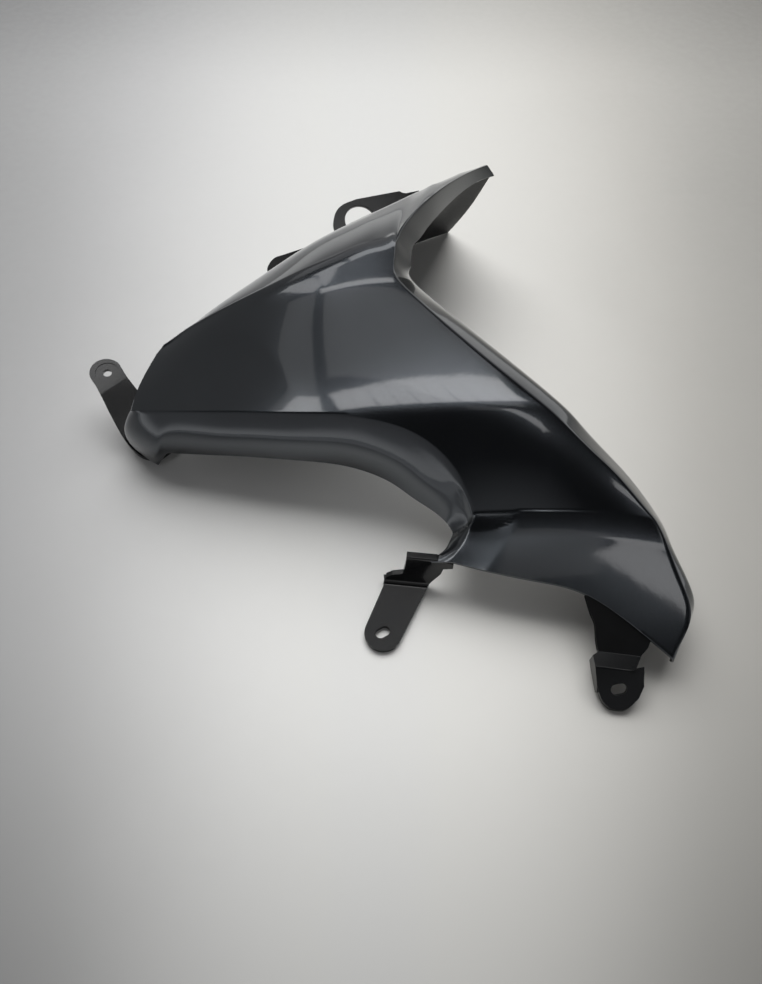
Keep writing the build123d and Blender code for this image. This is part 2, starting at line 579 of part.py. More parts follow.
# lower-right tab: web under the leg, shelf, and a sloping plate with a slot
rf = np.array([0.9915, -0.1299, 0.0])
rf /= np.linalg.norm(rf)
rp = np.array([rf[1], -rf[0], 0.0])
rs = math.radians(RIGHT_PLATE_SLOPE)
R_TOP = -148.93
right_strip = bent_strip(rp, rf, [(-192, RIGHT_WEB_TOP), (-157.8, RIGHT_SHELF_Z + RIGHT_SHELF_RISE),
                                  (R_TOP, RIGHT_SHELF_Z), (R_TOP + 24 * math.cos(rs), RIGHT_SHELF_Z - 24 * math.sin(rs))],
                         {1: 2.0, 2: 3.6}, 80, 160)
rplan = lambda p: vec(rf * p[0] + rp * p[1] - UP * 6)
right_pieces = polyline_pieces([(129.4, -136.1), (131.7, -142.5), (126.4, -145.8), (121.6, R_TOP), (126.2, -149.6),
                                (129.5, -158.5), (133.0, -162.9), (136.0, -172.0), (137.0, -190.2), (126.0, -189.4),
                                (96.0, -188.4)]) + [
    ("curve", [(96.0, -188.4), (99.7, -178.7), (102.4, -173.1), (103.6, -164.1), (105.1, -157.8)])] + polyline_pieces(
    [(105.1, -157.8), (102.0, -155.3), (105.5, -139.6)]) + [
    ("curve", [(105.5, -139.6), (109.1, -133.1), (114.0, -129.7), (119.6, -129.1), (124.4, -130.9), (129.4, -136.1)])]
right_tab = right_strip & Solid.extrude(Face(flat_wire(rplan, right_pieces)), vec(UP * 50))
plate_n = rp * math.sin(rs) + UP * math.cos(rs)
plate_d = rp * math.cos(rs) - UP * math.sin(rs)
slot_at = rf * (114.19 + 3.7) + rp * R_TOP + UP * RIGHT_SHELF_Z + plate_d * 11.2
right_tab = right_tab - slot(slot_at, rf * math.cos(math.radians(18)) - plate_d * math.sin(math.radians(18)), plate_n)
# side flange on the left of the shelf and plate, facet on the right
side = [(-155.3, RIGHT_SHELF_Z - 0.4), (R_TOP, RIGHT_SHELF_Z - 0.4), (-139.6, 8.6), (-136.8, 5.6), (-138, 2.4), (-149, 4.4),
        (-155.3, 6.4)]
sd = rp * 15.7 + rf * 3.5
sd /= np.linalg.norm(sd)
s0 = rf * 102.0 + rp * -155.3
sv = lambda p: vec(s0 + sd * ((p[0] + 155.3) * 1.0246) + UP * p[1])
side_flange = Solid.extrude(Face(Wire.make_polygon([sv(p) for p in side], close=True)), vec(np.cross(UP, sd) * 2.2))
facet = [rf * 121.1 + rp * R_TOP + UP * (RIGHT_SHELF_Z - 0.5), rf * 131.6 + rp * -142.1 + UP * 10.2,
         rf * 132.0 + rp * -153.5 + UP * 11.9]
facet_plate = Solid.extrude(Face(Wire.make_polygon([vec(p) for p in facet], close=True)), vec(UP * -2.4))
right_tab = right_tab + side_flange + facet_plate

# ring lug and small flange tab on the outside of the back wall
bx, by = np.array([0.91381, 0.40614, 0.0]), np.array([-0.40614, 0.91381, 0.0])


def back_plate(origin, rise, pieces):
    r = math.radians(rise)
    ey = by * math.cos(r) + UP * math.sin(r)
    n = np.cross(bx, ey)
    o = np.array(origin)
    place = lambda p: vec(o + bx * p[0] + ey * p[1])
    return Solid.extrude(Face(flat_wire(place, pieces)), vec(n * -TAB_T)), o, ey, n


ring_lug, ro, rey, rn = back_plate((-18.1, 497.18, 32), RING_RISE, [
    ("curve", [(-21.0, -16), (-21.9, -2.8), (-20.0, 4.2), (-15.1, 11.0), (-7.9, 14.9), (4.1, 16.2)])] + polyline_pieces(
    [(4.1, 16.2), (41.2, 12.8), (43.7, 10.5), (46, 9.6), (57.4, 8.8), (57.4, -21.5), (48, -22.3), (36, -23.2), (24, -24.3),
     (12, -24.8), (0, -28.2), (-12, -32.4), (-15, -33.0), (-21.0, -16)]))
ring_lug = ring_lug - drill(ro + bx * 1.2 - rey * 1.6, rn, RING_HOLE_R)
small_tab, _, _, _ = back_plate((-74.22, 449.43, 30), SMALL_RISE, [
    ("curve", [(-12.0, -14), (-15.3, -4.0), (-13.6, 0.85), (-6.8, 5.8), (2.45, 6.4)])] + polyline_pieces(
    [(2.45, 6.4), (20.1, 7.0), (22, 5), (22, -22.3), (14, -24.6), (6, -27.1), (-2, -29.7), (-8, -31.7), (-12.0, -14)]))

for name, at, axis in (("left hole", hole_at - tip_n * 1.7, tip_n), ("ring hole", ro + bx * 1.2 - rey * 1.6 - rn * 1.5, rn),
                       ("centre slot", np.array([1.0, 159.2, 1.5]), UP), ("right slot", slot_at - plate_n * 1.5, plate_n)):
    print(name, [round(float(x), 5) for x in (vec(at) + SHIFT) / 1000], [round(float(x), 6) for x in axis])

panel = shell
for name, tab in (("left", left_tab), ("centre", centre_tab), ("right", right_tab), ("ring", ring_lug), ("small", small_tab)):
    moved = tab.moved(Location(SHIFT))
    print(name, "tab volume", round(tab.volume, 1), "valid", tab.is_valid)
    panel = panel.fuse(moved)
panel = panel.clean()
solids = panel.solids()
print("solids", len(solids), "volume", round(panel.volume, 1), "valid", panel.is_valid)
box = panel.bounding_box()
print("box", [round(x, 3) for x in (box.min.X, box.min.Y, box.min.Z, box.max.X, box.max.Y, box.max.Z)])
export_step(solids[0], "parts/fairing_panel.step")
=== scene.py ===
import math

import bmesh
import bpy
import numpy as np
from mathutils import Matrix, Vector


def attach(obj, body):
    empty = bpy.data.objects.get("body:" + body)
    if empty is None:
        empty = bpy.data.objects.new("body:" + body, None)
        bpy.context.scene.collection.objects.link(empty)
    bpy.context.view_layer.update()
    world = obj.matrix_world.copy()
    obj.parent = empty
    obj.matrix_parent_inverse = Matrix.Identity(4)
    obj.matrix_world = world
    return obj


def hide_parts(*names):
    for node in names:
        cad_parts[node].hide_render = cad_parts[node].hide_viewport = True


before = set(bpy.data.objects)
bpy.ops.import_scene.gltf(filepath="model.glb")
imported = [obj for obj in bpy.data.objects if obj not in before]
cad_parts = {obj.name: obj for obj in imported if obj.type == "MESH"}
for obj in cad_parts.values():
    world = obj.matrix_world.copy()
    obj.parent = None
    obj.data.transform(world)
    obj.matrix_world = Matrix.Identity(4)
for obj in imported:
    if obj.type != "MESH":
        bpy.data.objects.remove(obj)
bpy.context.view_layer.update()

# ---------------------------------------------------------------- the panel's skin, mm in the panel frame
ROWS = {
    "back_edge": (0, [
        (-136.53, 20.48, 53.12), (-128.53, 25.66, 55.72), (-118.83, 32.66, 59.69), (-100.83, 45.88, 66.51),
        (-76.85, 64.33, 71.50), (-50.05, 82.34, 78.62), (-30.44, 94.78, 82.61), (-15.45, 104.18, 84.20),
        (-2.36, 112.91, 84.78), (10.93, 122.20, 84.63), (23.08, 131.80, 83.96), (31.06, 137.98, 83.90),
        (38.89, 140.04, 86.50), (48.94, 144.13, 88.60), (60.78, 151.71, 88.70), (74.34, 159.91, 88.20),
        (84.35, 166.18, 87.50),
    ]),
    "ridge": (0, [
        (-136.23, 17.48, 57.62), (-128.03, 21.66, 61.22), (-117.63, 27.06, 65.49), (-95.44, 34.59, 74.45),
        (-70.00, 42.75, 83.25), (-43.17, 52.79, 90.99), (-23.02, 59.77, 95.58), (-10.72, 64.98, 98.02),
        (0.30, 68.73, 99.45), (10.07, 71.56, 100.14), (18.55, 73.29, 100.71), (23.98, 86.34, 100.90),
        (31.67, 100.79, 99.50), (42.44, 116.89, 97.60), (55.09, 133.68, 95.20), (70.45, 150.43, 92.20),
        (85.44, 163.66, 89.00),
    ]),
    "face1": (0, [
        (-139.58, 12.99, 55.79), (-126.89, 16.18, 60.75), (-117.27, 20.33, 64.80), (-96.34, 29.60, 73.58),
        (-71.49, 35.95, 82.36), (-44.57, 41.69, 89.94), (-23.93, 46.99, 94.52), (-11.76, 50.19, 96.61),
        (-0.87, 52.84, 97.94), (8.75, 54.47, 98.55), (16.46, 55.29, 98.65),
    ]),
    "face2": (0, [
        (-141.46, 9.64, 54.65), (-128.31, 12.03, 59.55), (-118.55, 15.44, 63.44), (-97.26, 23.58, 72.01),
        (-72.79, 29.04, 80.36), (-45.23, 32.70, 87.62), (-24.33, 35.49, 91.76), (-11.57, 36.39, 93.44),
        (-0.77, 37.46, 94.51), (9.38, 38.20, 95.08), (18.26, 38.90, 95.27),
    ]),
    "face3": (0, [
        (-145.92, 0.34, 51.78), (-133.51, 1.45, 55.92), (-122.93, 2.99, 59.52), (-100.06, 6.11, 66.99),
        (-74.99, 7.41, 73.92), (-47.04, 7.84, 79.78), (-21.94, 8.02, 83.59), (-3.74, 8.23, 85.57), (13.10, 8.79, 86.74),
        (29.91, 9.63, 87.18), (45.57, 11.13, 86.95),
    ]),
    "face4": (0, [
        (-151.07, -13.38, 47.99), (-138.30, -13.73, 51.47), (-127.21, -13.72, 54.47), (-102.01, -14.73, 60.62),
        (-74.91, -16.24, 66.28), (-46.03, -17.86, 71.05), (-17.81, -19.01, 74.74), (6.27, -19.45, 77.11),
        (29.55, -19.43, 78.47), (53.45, -18.89, 78.76), (76.98, -17.14, 77.86),
    ]),
    "crease": (0, [
        (-153.38, -27.29, 44.80), (-140.06, -29.46, 47.41), (-124.94, -31.88, 50.12), (-99.49, -35.42, 54.30),
        (-72.17, -38.72, 58.28), (-43.02, -41.82, 61.92), (-13.86, -44.69, 64.85), (17.81, -45.83, 67.84),
        (48.58, -45.70, 69.93), (78.77, -44.29, 70.76), (106.38, -42.33, 69.72),
    ]),
    "scoop1": (6, [
        (18.41, -53.23, 63.62), (43.74, -54.25, 64.74), (69.02, -54.76, 65.18), (94.40, -54.72, 64.87),
        (120.19, -53.80, 63.39),
    ]),
    "scoop2": (6, [
        (41.35, -65.25, 57.60), (64.86, -66.23, 57.70), (88.36, -66.98, 57.45), (111.97, -67.43, 56.76),
        (135.91, -67.29, 55.25),
    ]),
    "scoop3": (6, [
        (55.93, -80.40, 47.64), (79.96, -80.74, 47.61), (103.93, -81.19, 47.76), (127.91, -81.56, 47.77),
        (151.95, -81.77, 47.54),
    ]),
    "valley": (6, [
        (64.76, -97.06, 34.11), (91.98, -96.52, 35.63), (117.73, -97.31, 36.99), (144.30, -99.46, 38.31),
        (170.20, -104.69, 39.01),
    ]),
    "leg1": (6, [
        (64.47, -103.86, 32.58), (90.21, -106.28, 33.23), (115.75, -107.60, 34.38), (146.22, -110.38, 35.73),
        (175.84, -116.76, 36.35),
    ]),
    "leg2": (6, [
        (60.64, -111.42, 30.06), (84.37, -114.58, 30.90), (112.07, -117.66, 31.64), (145.08, -122.74, 32.45),
        (181.44, -138.81, 30.74),
    ]),
    "leg3": (6, [
        (55.62, -118.91, 27.53), (77.98, -123.37, 28.40), (107.19, -128.70, 28.51), (140.39, -136.46, 28.43),
        (185.36, -160.00, 24.81),
    ]),
    "leg_end": (6, [
        (50.67, -125.67, 25.00), (71.67, -132.03, 25.90), (101.87, -138.69, 25.56), (132.99, -149.28, 24.37),
        (173.46, -181.73, 17.17),
    ]),
    "front1": (0, [
        (-161.46, -27.53, 30.00), (-142.80, -39.14, 31.99), (-128.96, -38.86, 38.86), (-101.50, -42.40, 43.97),
        (-73.68, -45.85, 47.96), (-44.13, -49.40, 51.06), (-14.91, -53.04, 52.86), (15.09, -61.46, 51.21),
        (35.69, -71.86, 46.02), (50.49, -84.52, 38.68), (61.04, -98.40, 29.78), (59.83, -105.73, 29.92),
        (56.17, -112.97, 28.11), (51.17, -119.44, 26.30), (46.43, -125.28, 24.66),
    ]),
    "front2": (0, [
        (-164.97, -27.42, 14.50), (-144.55, -42.68, 16.58), (-132.38, -41.74, 27.60), (-103.09, -46.20, 33.64),
        (-74.86, -49.98, 37.64), (-44.91, -53.85, 40.19), (-15.31, -57.84, 40.86), (12.93, -66.56, 38.79),
        (31.41, -76.58, 34.43), (46.33, -87.70, 29.73), (56.80, -99.94, 25.46), (55.51, -106.79, 25.96),
        (51.96, -113.98, 25.30), (46.90, -119.72, 24.65), (42.30, -124.90, 24.33),
    ]),
    "front3": (0, [
        (-161.50, -27.81, 0.70), (-145.32, -39.91, 0.70), (-135.27, -40.40, 16.00), (-104.30, -46.80, 23.00),
        (-75.71, -51.09, 27.00), (-45.39, -55.16, 29.00), (-15.02, -59.08, 28.50), (11.94, -68.51, 26.00),
        (28.43, -79.45, 22.50), (43.38, -89.99, 20.50), (51.89, -101.72, 21.00), (51.20, -107.85, 22.00),
        (47.75, -115.00, 22.50), (42.64, -120.00, 23.00), (38.18, -124.52, 24.00),
    ]),
    "back1": (0, [
        (-137.90, 21.50, 48.49), (-130.77, 28.32, 50.11), (-121.57, 36.52, 52.37), (-102.80, 49.38, 56.69),
        (-79.05, 66.09, 61.22), (-53.63, 85.81, 64.19), (-35.31, 100.12, 65.05), (-21.08, 110.41, 65.09),
        (-8.71, 120.06, 64.46), (3.87, 130.28, 63.33), (15.32, 140.82, 62.39), (24.54, 145.30, 64.58),
        (33.70, 149.80, 66.53), (44.51, 155.91, 68.07), (56.81, 160.99, 71.72), (70.69, 166.78, 74.86),
        (91.11, 168.33, 80.00),
    ]),
    "back2": (0, [
        (-138.60, 23.05, 39.45), (-131.94, 30.96, 40.34), (-123.23, 40.25, 41.54), (-105.15, 54.66, 42.23),
        (-82.09, 72.92, 43.03), (-57.57, 94.67, 41.54), (-40.15, 110.99, 39.00), (-26.43, 122.45, 37.48),
        (-14.58, 133.26, 35.63), (-2.51, 144.65, 33.54), (8.42, 156.36, 32.34), (18.37, 160.90, 34.41),
        (28.24, 165.45, 36.34), (38.95, 170.87, 38.04), (50.31, 176.17, 40.10), (62.51, 181.84, 41.90),
        (79.41, 185.33, 40.00),
    ]),
    "back3": (0, [
        (-138.92, 23.74, 30.00), (-132.65, 32.49, 30.00), (-124.32, 42.63, 30.00), (-106.82, 58.34, 27.00),
        (-84.35, 77.90, 24.00), (-60.61, 101.40, 18.00), (-43.98, 119.48, 12.00), (-30.78, 132.11, 9.00),
        (-19.45, 144.09, 6.00), (-7.90, 156.66, 3.00), (2.51, 169.53, 1.60), (12.89, 174.83, 1.60),
        (23.28, 180.13, 1.60), (33.66, 185.43, 1.60), (44.04, 190.73, 1.60), (54.43, 196.03, 1.60),
        (64.81, 201.33, 1.60),
    ]),
    "left1": (1, [
        (-138.68, 15.13, 47.51), (-140.79, 10.40, 45.93), (-143.11, 5.24, 43.52), (-148.40, -3.40, 37.89),
        (-153.20, -15.31, 33.79),
    ]),
    "left2": (1, [
        (-141.11, 15.26, 37.76), (-144.04, 8.60, 35.47), (-147.08, 1.73, 31.76), (-151.61, -6.89, 23.95),
        (-155.89, -17.14, 19.65),
    ]),
    "left3": (1, [
        (-142.68, 15.14, 28.00), (-146.45, 6.55, 25.00), (-150.21, -2.04, 20.00), (-153.97, -10.63, 10.00),
        (-157.74, -19.22, 5.50),
    ]),
    "flange1": (0, [
        (92.05, 166.16, 79.00), (75.14, 155.95, 78.20), (59.57, 138.43, 77.70), (48.56, 120.05, 79.60),
        (40.13, 103.89, 81.50), (34.55, 91.18, 83.40), (29.67, 79.70, 85.96), (28.07, 64.94, 84.40),
        (29.09, 49.56, 83.35), (56.68, 22.32, 77.34), (88.13, -3.91, 68.53), (119.00, -32.94, 61.24),
        (133.65, -45.00, 52.50), (149.35, -59.25, 43.50), (164.19, -75.15, 36.50), (178.48, -100.15, 30.91),
        (183.21, -118.96, 28.94), (190.69, -142.16, 24.03), (188.87, -159.13, 19.56), (174.93, -183.09, 16.02),
    ]),
    "flange2": (7, [
        (28.57, 65.84, 81.80), (29.80, 50.27, 78.85), (57.38, 23.04, 70.34), (88.77, -3.14, 60.53),
        (119.80, -32.33, 53.24), (134.52, -44.50, 44.50), (150.24, -58.80, 35.50), (165.10, -74.74, 28.50),
        (179.36, -99.67, 22.91), (184.18, -119.20, 20.94), (191.65, -142.43, 17.37), (189.81, -158.79, 14.23),
        (175.93, -183.11, 12.02),
    ]),
}
# the main face and the leg as smooth functions of x/100 and y/100, and the guide lines of the scoop
FACE_FIT = (83.6749, 7.8405, 33.3087, -12.2123, -7.5693, -10.5937, -1.7688, -13.601, 1.609)
LEG_FIT = (48.75, 4.152, 13.253, 1.711, 1.768, -4.322)
CREASE_Y = (-45.43, -3.82, 6.02)
VALLEY_Y = (-115.28, 38.36, -18.76)
SCOOP_START = (1.05, -0.33, 0.70, 1.05)
CREASE_ROLL = (0.3, 0.9, 0.15, 1.4)
SHOULDER_Y, SHOULDER_SKEW, SHOULDER_R = 36.2, 0.094, 3.0
ROLL = (0.35, 1.25, 11.0)
VALLEY_ROUND = (2.1, 17.0)
WALL, TIP_WALL, NARROW, TAB_T = 2.6, 0.9, 3.0, 3.0
SHIFT = np.array([8.11, -320.67, 0.0])

POINT = {}
for row, (first, pts) in ROWS.items():
    for k, p in enumerate(pts):
        POINT[row, first + k] = np.array(p, float)

FACE_ROWS = ["ridge", "face1", "face2", "face3", "face4", "crease"]
LOWER_ROWS = ["crease", "scoop1", "scoop2", "scoop3", "valley", "leg1", "leg2", "leg3", "leg_end"]
FRONT_TOP = [("crease", i) for i in range(7)] + [(r, 6) for r in LOWER_ROWS[1:]]
LEFT_TOP = [("back_edge", 0)] + [(r, 0) for r in FACE_ROWS]
RIGHT_TOP = [("ridge", i) for i in range(16, 9, -1)] + [(r, 10) for r in FACE_ROWS[1:] + LOWER_ROWS[1:]]

names, index, quads, region = [], {}, [], []


def vertex(n):
    if n not in index:
        index[n] = len(names)
        names.append(n)
    return index[n]


def quad(where, *corners):
    quads.append([vertex(c) for c in corners])
    region.append(where)


def left_name(j, k):
    if k == 0:
        return ("back%d" % j, 0)
    if k == 6:
        return ("front%d" % j, 0)
    return ("left%d" % j, k)


for i in range(16):
    quad("back", ("back_edge", i), ("ridge", i), ("ridge", i + 1), ("back_edge", i + 1))
for r0, r1 in zip(FACE_ROWS[:-1], FACE_ROWS[1:]):
    for i in range(10):
        quad("face", (r0, i), (r1, i), (r1, i + 1), (r0, i + 1))
for r0, r1 in zip(LOWER_ROWS[:-1], LOWER_ROWS[1:]):
    for i in range(6, 10):
        leg = r0 in ("valley", "leg1", "leg2", "leg3")
        quad(("leg" if i > 6 else "foot") if leg else "scoop", (r0, i), (r1, i), (r1, i + 1), (r0, i + 1))
for k in range(14):
    p, q = FRONT_TOP[k], FRONT_TOP[k + 1]
    for j in (1, 2, 3):
        quad("front", p, ("front%d" % j, k), ("front%d" % j, k + 1), q)
        p, q = ("front%d" % j, k), ("front%d" % j, k + 1)
for i in range(16):
    p, q = ("back_edge", i), ("back_edge", i + 1)
    for j in (1, 2, 3):
        quad("wall", p, q, ("back%d" % j, i + 1), ("back%d" % j, i))
        p, q = ("back%d" % j, i), ("back%d" % j, i + 1)
for k in range(6):
    p, q = LEFT_TOP[k], LEFT_TOP[k + 1]
    for j in (1, 2, 3):
        quad("left", p, left_name(j, k), left_name(j, k + 1), q)
        p, q = left_name(j, k), left_name(j, k + 1)
for k in range(len(RIGHT_TOP) - 1):
    quad("flange", RIGHT_TOP[k], RIGHT_TOP[k + 1], ("flange1", k + 1), ("flange1", k))
    if k >= 7:
        quad("flange", ("flange1", k), ("flange1", k + 1), ("flange2", k + 1), ("flange2", k))
quad("wall", ("back_edge", 16), ("ridge", 16), ("flange1", 0), ("back1", 16))
QUADS = np.array(quads)
TARGET = np.array([POINT[n] for n in names])

# how tight each fold is: a higher number is a smaller radius
FOLD = {}


def fold(a, b, tight):
    i, j = index[a], index[b]
    FOLD[min(i, j), max(i, j)] = tight


for i in range(10):
    fold(("crease", i), ("crease", i + 1), (4, 4, 4, 4, 4, 3, 2, 1, 1, 1)[i])
    if i < 3:
        fold(("ridge", i), ("ridge", i + 1), 1)
for i in range(6, 10):
    fold(("face2", i), ("face2", i + 1), 1)
for i in range(16):
    tight = 2 if i < 2 or i > 13 else 1 if i < 3 or i > 11 else 0
    if tight:
        fold(("back_edge", i), ("back_edge", i + 1), tight)
for i in range(10, 16):
    fold(("ridge", i), ("ridge", i + 1), 3)
for a, b in zip(RIGHT_TOP[6:-1], RIGHT_TOP[7:]):
    fold(a, b, 3)
for a, b in zip(LEFT_TOP[:-1], LEFT_TOP[1:]):
    fold(a, b, 3)
fold(("crease", 6), ("scoop1", 6), 1)
fold(("scoop1", 6), ("scoop2", 6), 1)
fold(("scoop2", 6), ("scoop3", 6), 1)
for r0, r1 in zip(LOWER_ROWS[3:-1], LOWER_ROWS[4:]):
    fold((r0, 6), (r1, 6), 2)
for r0, r1 in zip(LOWER_ROWS[4:-1], LOWER_ROWS[5:]):
    fold((r0, 7), (r1, 7), 3)
for i in range(6, 10):
    fold(("valley", i), ("valley", i + 1), 2)
fold(("back_edge", 16), ("ridge", 16), 3)
fold(("ridge", 16), ("flange1", 0), 4)
fold(("back_edge", 16), ("back1", 16), 4)
CORNER = np.zeros(len(names), bool)
for n in (("back_edge", 0), ("crease", 0), ("front3", 1), ("front3", 2), ("back3", 16), ("flange1", 0), ("leg_end", 10),
          ("leg_end", 6), ("front3", 14), ("flange2", 19), ("flange2", 7)):
    CORNER[index[n]] = True


def edge_table(F):
    e = np.concatenate([F[:, [0, 1]], F[:, [1, 2]], F[:, [2, 3]], F[:, [3, 0]]])
    u, inv = np.unique(np.sort(e, 1), axis=0, return_inverse=True)
    inv = inv.ravel()
    return u, inv.reshape(4, len(F)).T, np.bincount(inv, minlength=len(u)), np.tile(np.arange(len(F)), 4), inv


def tightness(u, count, folds):
    return np.where(count == 1, 99, np.array([folds.get((int(a), int(b)), 0) for a, b in u]))


def split(V, F, folds, corner):
    """One step of rounding subdivision; a fold stays sharp for as many steps as its number."""
    nv = len(V)
    u, fe, count, fi, inv = edge_table(F)
    ne = len(u)
    t = tightness(u, count, folds)
    s = t > 0
    centre = V[F].mean(1)
    fs = np.zeros((ne, 3))
    np.add.at(fs, inv, centre[fi])
    mid = (V[u[:, 0]] + V[u[:, 1]]) / 2
    ep = np.where(s[:, None], mid, (2 * mid + fs) / 4)
    n = np.zeros(nv)
    np.add.at(n, u.ravel(), 1)
    r = np.zeros((nv, 3))
    np.add.at(r, u[:, 0], mid)
    np.add.at(r, u[:, 1], mid)
    q = np.zeros((nv, 3))
    nf = np.zeros(nv)
    for k in range(4):
        np.add.at(q, F[:, k], centre)
        np.add.at(nf, F[:, k], 1)
    n = n[:, None]
    smooth = (q / nf[:, None] + 2 * r / n + (n - 3) * V) / n
    ns = np.zeros(nv)
    nb = np.zeros((nv, 3))
    us = u[s]
    np.add.at(ns, us.ravel(), 1)
    np.add.at(nb, us[:, 0], V[us[:, 1]])
    np.add.at(nb, us[:, 1], V[us[:, 0]])
    vp = np.where((ns == 2)[:, None], (6 * V + nb) / 8, smooth)
    vp = np.where(((ns >= 3) | corner)[:, None], V, vp)
    m = len(F)
    f = nv + ne + np.arange(m)
    e0, e1, e2, e3 = [nv + fe[:, k] for k in range(4)]
    nF = np.stack([np.stack([F[:, 0], e0, f, e3], 1), np.stack([e0, F[:, 1], e1, f], 1),
                   np.stack([f, e1, F[:, 2], e2], 1), np.stack([e3, f, e2, F[:, 3]], 1)], 1).reshape(-1, 4)
    new = {}
    for k in np.nonzero(s)[0]:
        left = 99 if t[k] == 99 else t[k] - 1
        if left > 0:
            a, b = int(u[k, 0]), int(u[k, 1])
            new[a, nv + int(k)] = left
            new[b, nv + int(k)] = left
    return np.concatenate([vp, ep, centre]), nF, new, np.concatenate([corner, np.zeros(ne + m, bool)])


def settle(V, F, folds, corner):
    nv = len(V)
    u, fe, count, fi, inv = edge_table(F)
    s = tightness(u, count, folds) > 0
    n = np.zeros(nv)
    np.add.at(n, u.ravel(), 1)
    es = np.zeros((nv, 3))
    np.add.at(es, u[:, 0], V[u[:, 1]])
    np.add.at(es, u[:, 1], V[u[:, 0]])
    ds = np.zeros((nv, 3))
    for k in range(4):
        np.add.at(ds, F[:, k], V[F[:, (k + 2) % 4]])
    n = n[:, None]
    smooth = (n * n * V + 4 * es + ds) / (n * (n + 5))
    ns = np.zeros(nv)
    nb = np.zeros((nv, 3))
    us = u[s]
    np.add.at(ns, us.ravel(), 1)
    np.add.at(nb, us[:, 0], V[us[:, 1]])
    np.add.at(nb, us[:, 1], V[us[:, 0]])
    out = np.where((ns == 2)[:, None], (4 * V + nb) / 6, smooth)
    return np.where(((ns >= 3) | corner)[:, None], V, out)


def refine(V, level):
    F, S, C = QUADS, FOLD, CORNER
    for _ in range(level):
        V, F, S, C = split(V, F, S, C)
    return settle(V, F, S, C), F


def cage_through(target):
    V = target.copy()
    for _ in range(14):
        V = V + 0.75 * (target - refine(V, 3)[0][:len(target)])
    return V


OUT_LEVEL, IN_LEVEL = 4, 3
cage = cage_through(TARGET)
OUTER, OF = refine(cage, OUT_LEVEL)
outer_region = np.repeat(np.array(region), 4 ** OUT_LEVEL)


# the main face, the scoop under the crease and the leg follow smooth functions of x and y
def soft_ramp(v):
    return (v + np.sqrt(v * v + SHOULDER_R ** 2)) / 2


def shoulder(x, y):
    """Soft bend across the upper face, where the wing starts; it fades out towards the left."""
    t = y - (SHOULDER_Y + SHOULDER_SKEW * x)
    f = np.clip((x + 80) / 60, 0, 1)
    up, dn = soft_ramp(t), soft_ramp(-t)
    d = np.minimum(dn, 30.0)
    z = -0.0376 * up + 0.00106 * up * up - (0.032 * d - 0.032 * d * d / 60) * (1 - np.clip((dn - 30) / 52, 0, 1))
    return f * f * (3 - 2 * f) * z


def face_at(x, y):
    u, v = x / 100, y / 100
    return np.stack([np.ones_like(u), u, v, u * u, u * v, v * v, u ** 3, u * u * v, u * v * v], 1) @ np.array(FACE_FIT) + \
        shoulder(x, y)


def leg_at(x, y):
    """The leg, which rises in a hollow rounding to the valley."""
    u, v = x / 100, y / 100
    gap = VALLEY_Y[0] + VALLEY_Y[1] * u + VALLEY_Y[2] * u * u - y
    return np.stack([np.ones_like(u), u, v, u * u, u * v, v * v], 1) @ np.array(LEG_FIT) + \
        VALLEY_ROUND[0] * np.clip(1 - gap / VALLEY_ROUND[1], 0, 1) ** 2


def scoop_at(x, y):
    """Falls from the crease to the valley in front of the leg."""
    u = x / 100
    yk = CREASE_Y[0] + CREASE_Y[1] * u + CREASE_Y[2] * u * u
    yv = VALLEY_Y[0] + VALLEY_Y[1] * u + VALLEY_Y[2] * u * u
    zk, t = face_at(x, yk), (yk - y) / (yk - yv)
    a = np.clip(SCOOP_START[0] + SCOOP_START[1] * u, SCOOP_START[2], SCOOP_START[3])
    return zk - (zk - leg_at(x, yv)) * (a * t + (1 - a) * t * t)


def top_height(P):
    f, s = face_at(P[:, 0], P[:, 1]), scoop_at(P[:, 0], P[:, 1])
    r = np.clip(CREASE_ROLL[0] + CREASE_ROLL[1] * P[:, 0] / 100, CREASE_ROLL[2], CREASE_ROLL[3])
    return (f + s - np.sqrt((f - s) ** 2 + r * r)) / 2


def leg_height(P):
    return leg_at(P[:, 0], P[:, 1])


def away_from(P, line):
    gap, near = np.full(len(P), 1e9), np.zeros(len(P), int)
    for k in range(0, len(line), 64):
        d = np.linalg.norm(P[:, None, :2] - line[None, k:k + 64, :2], axis=2)
        closer = d.min(1) < gap
        near[closer] = k + d.argmin(1)[closer]
        gap = np.minimum(gap, d.min(1))
    return gap, near


def ease(v):
    v = np.clip(v, 0, 1)
    return v * v * (3 - 2 * v)


upper = np.isin(outer_region, ("face", "scoop"))
on_back = np.unique(OF[outer_region == "back"])
on_top = np.setdiff1d(np.unique(OF[upper]), on_back)
on_leg = np.unique(OF[outer_region == "leg"])
crest = OUTER[np.intersect1d(np.unique(OF[outer_region == "face"]), on_back)]
shift = np.zeros(len(OUTER))
shift[on_leg] = leg_height(OUTER[on_leg]) - OUTER[on_leg, 2]
# the face rolls over into the strip behind the ridge
d, _ = away_from(OUTER[on_top], crest)
drop = ROLL[0] + ROLL[1] * ease((OUTER[on_top, 0] + 100) / 70)
goal = top_height(OUTER[on_top]) - drop * np.clip(1 - d / ROLL[2], 0, 1) ** 2
shift[on_top] = ease((d - 0.2) / 2.0) * (goal - OUTER[on_top, 2])
# the walls next to these faces follow their edges
rest = np.setdiff1d(np.arange(len(OUTER)), np.concatenate([on_top, on_leg, on_back]))
others = np.unique(OF[~upper & (outer_region != "leg") & (outer_region != "back")])
edge = np.intersect1d(others, np.concatenate([on_top, on_leg]))
d, near = away_from(OUTER[rest], OUTER[edge])
shift[rest] = shift[edge][near] * ease(1 - d / 12.0)
OUTER[:, 2] += shift

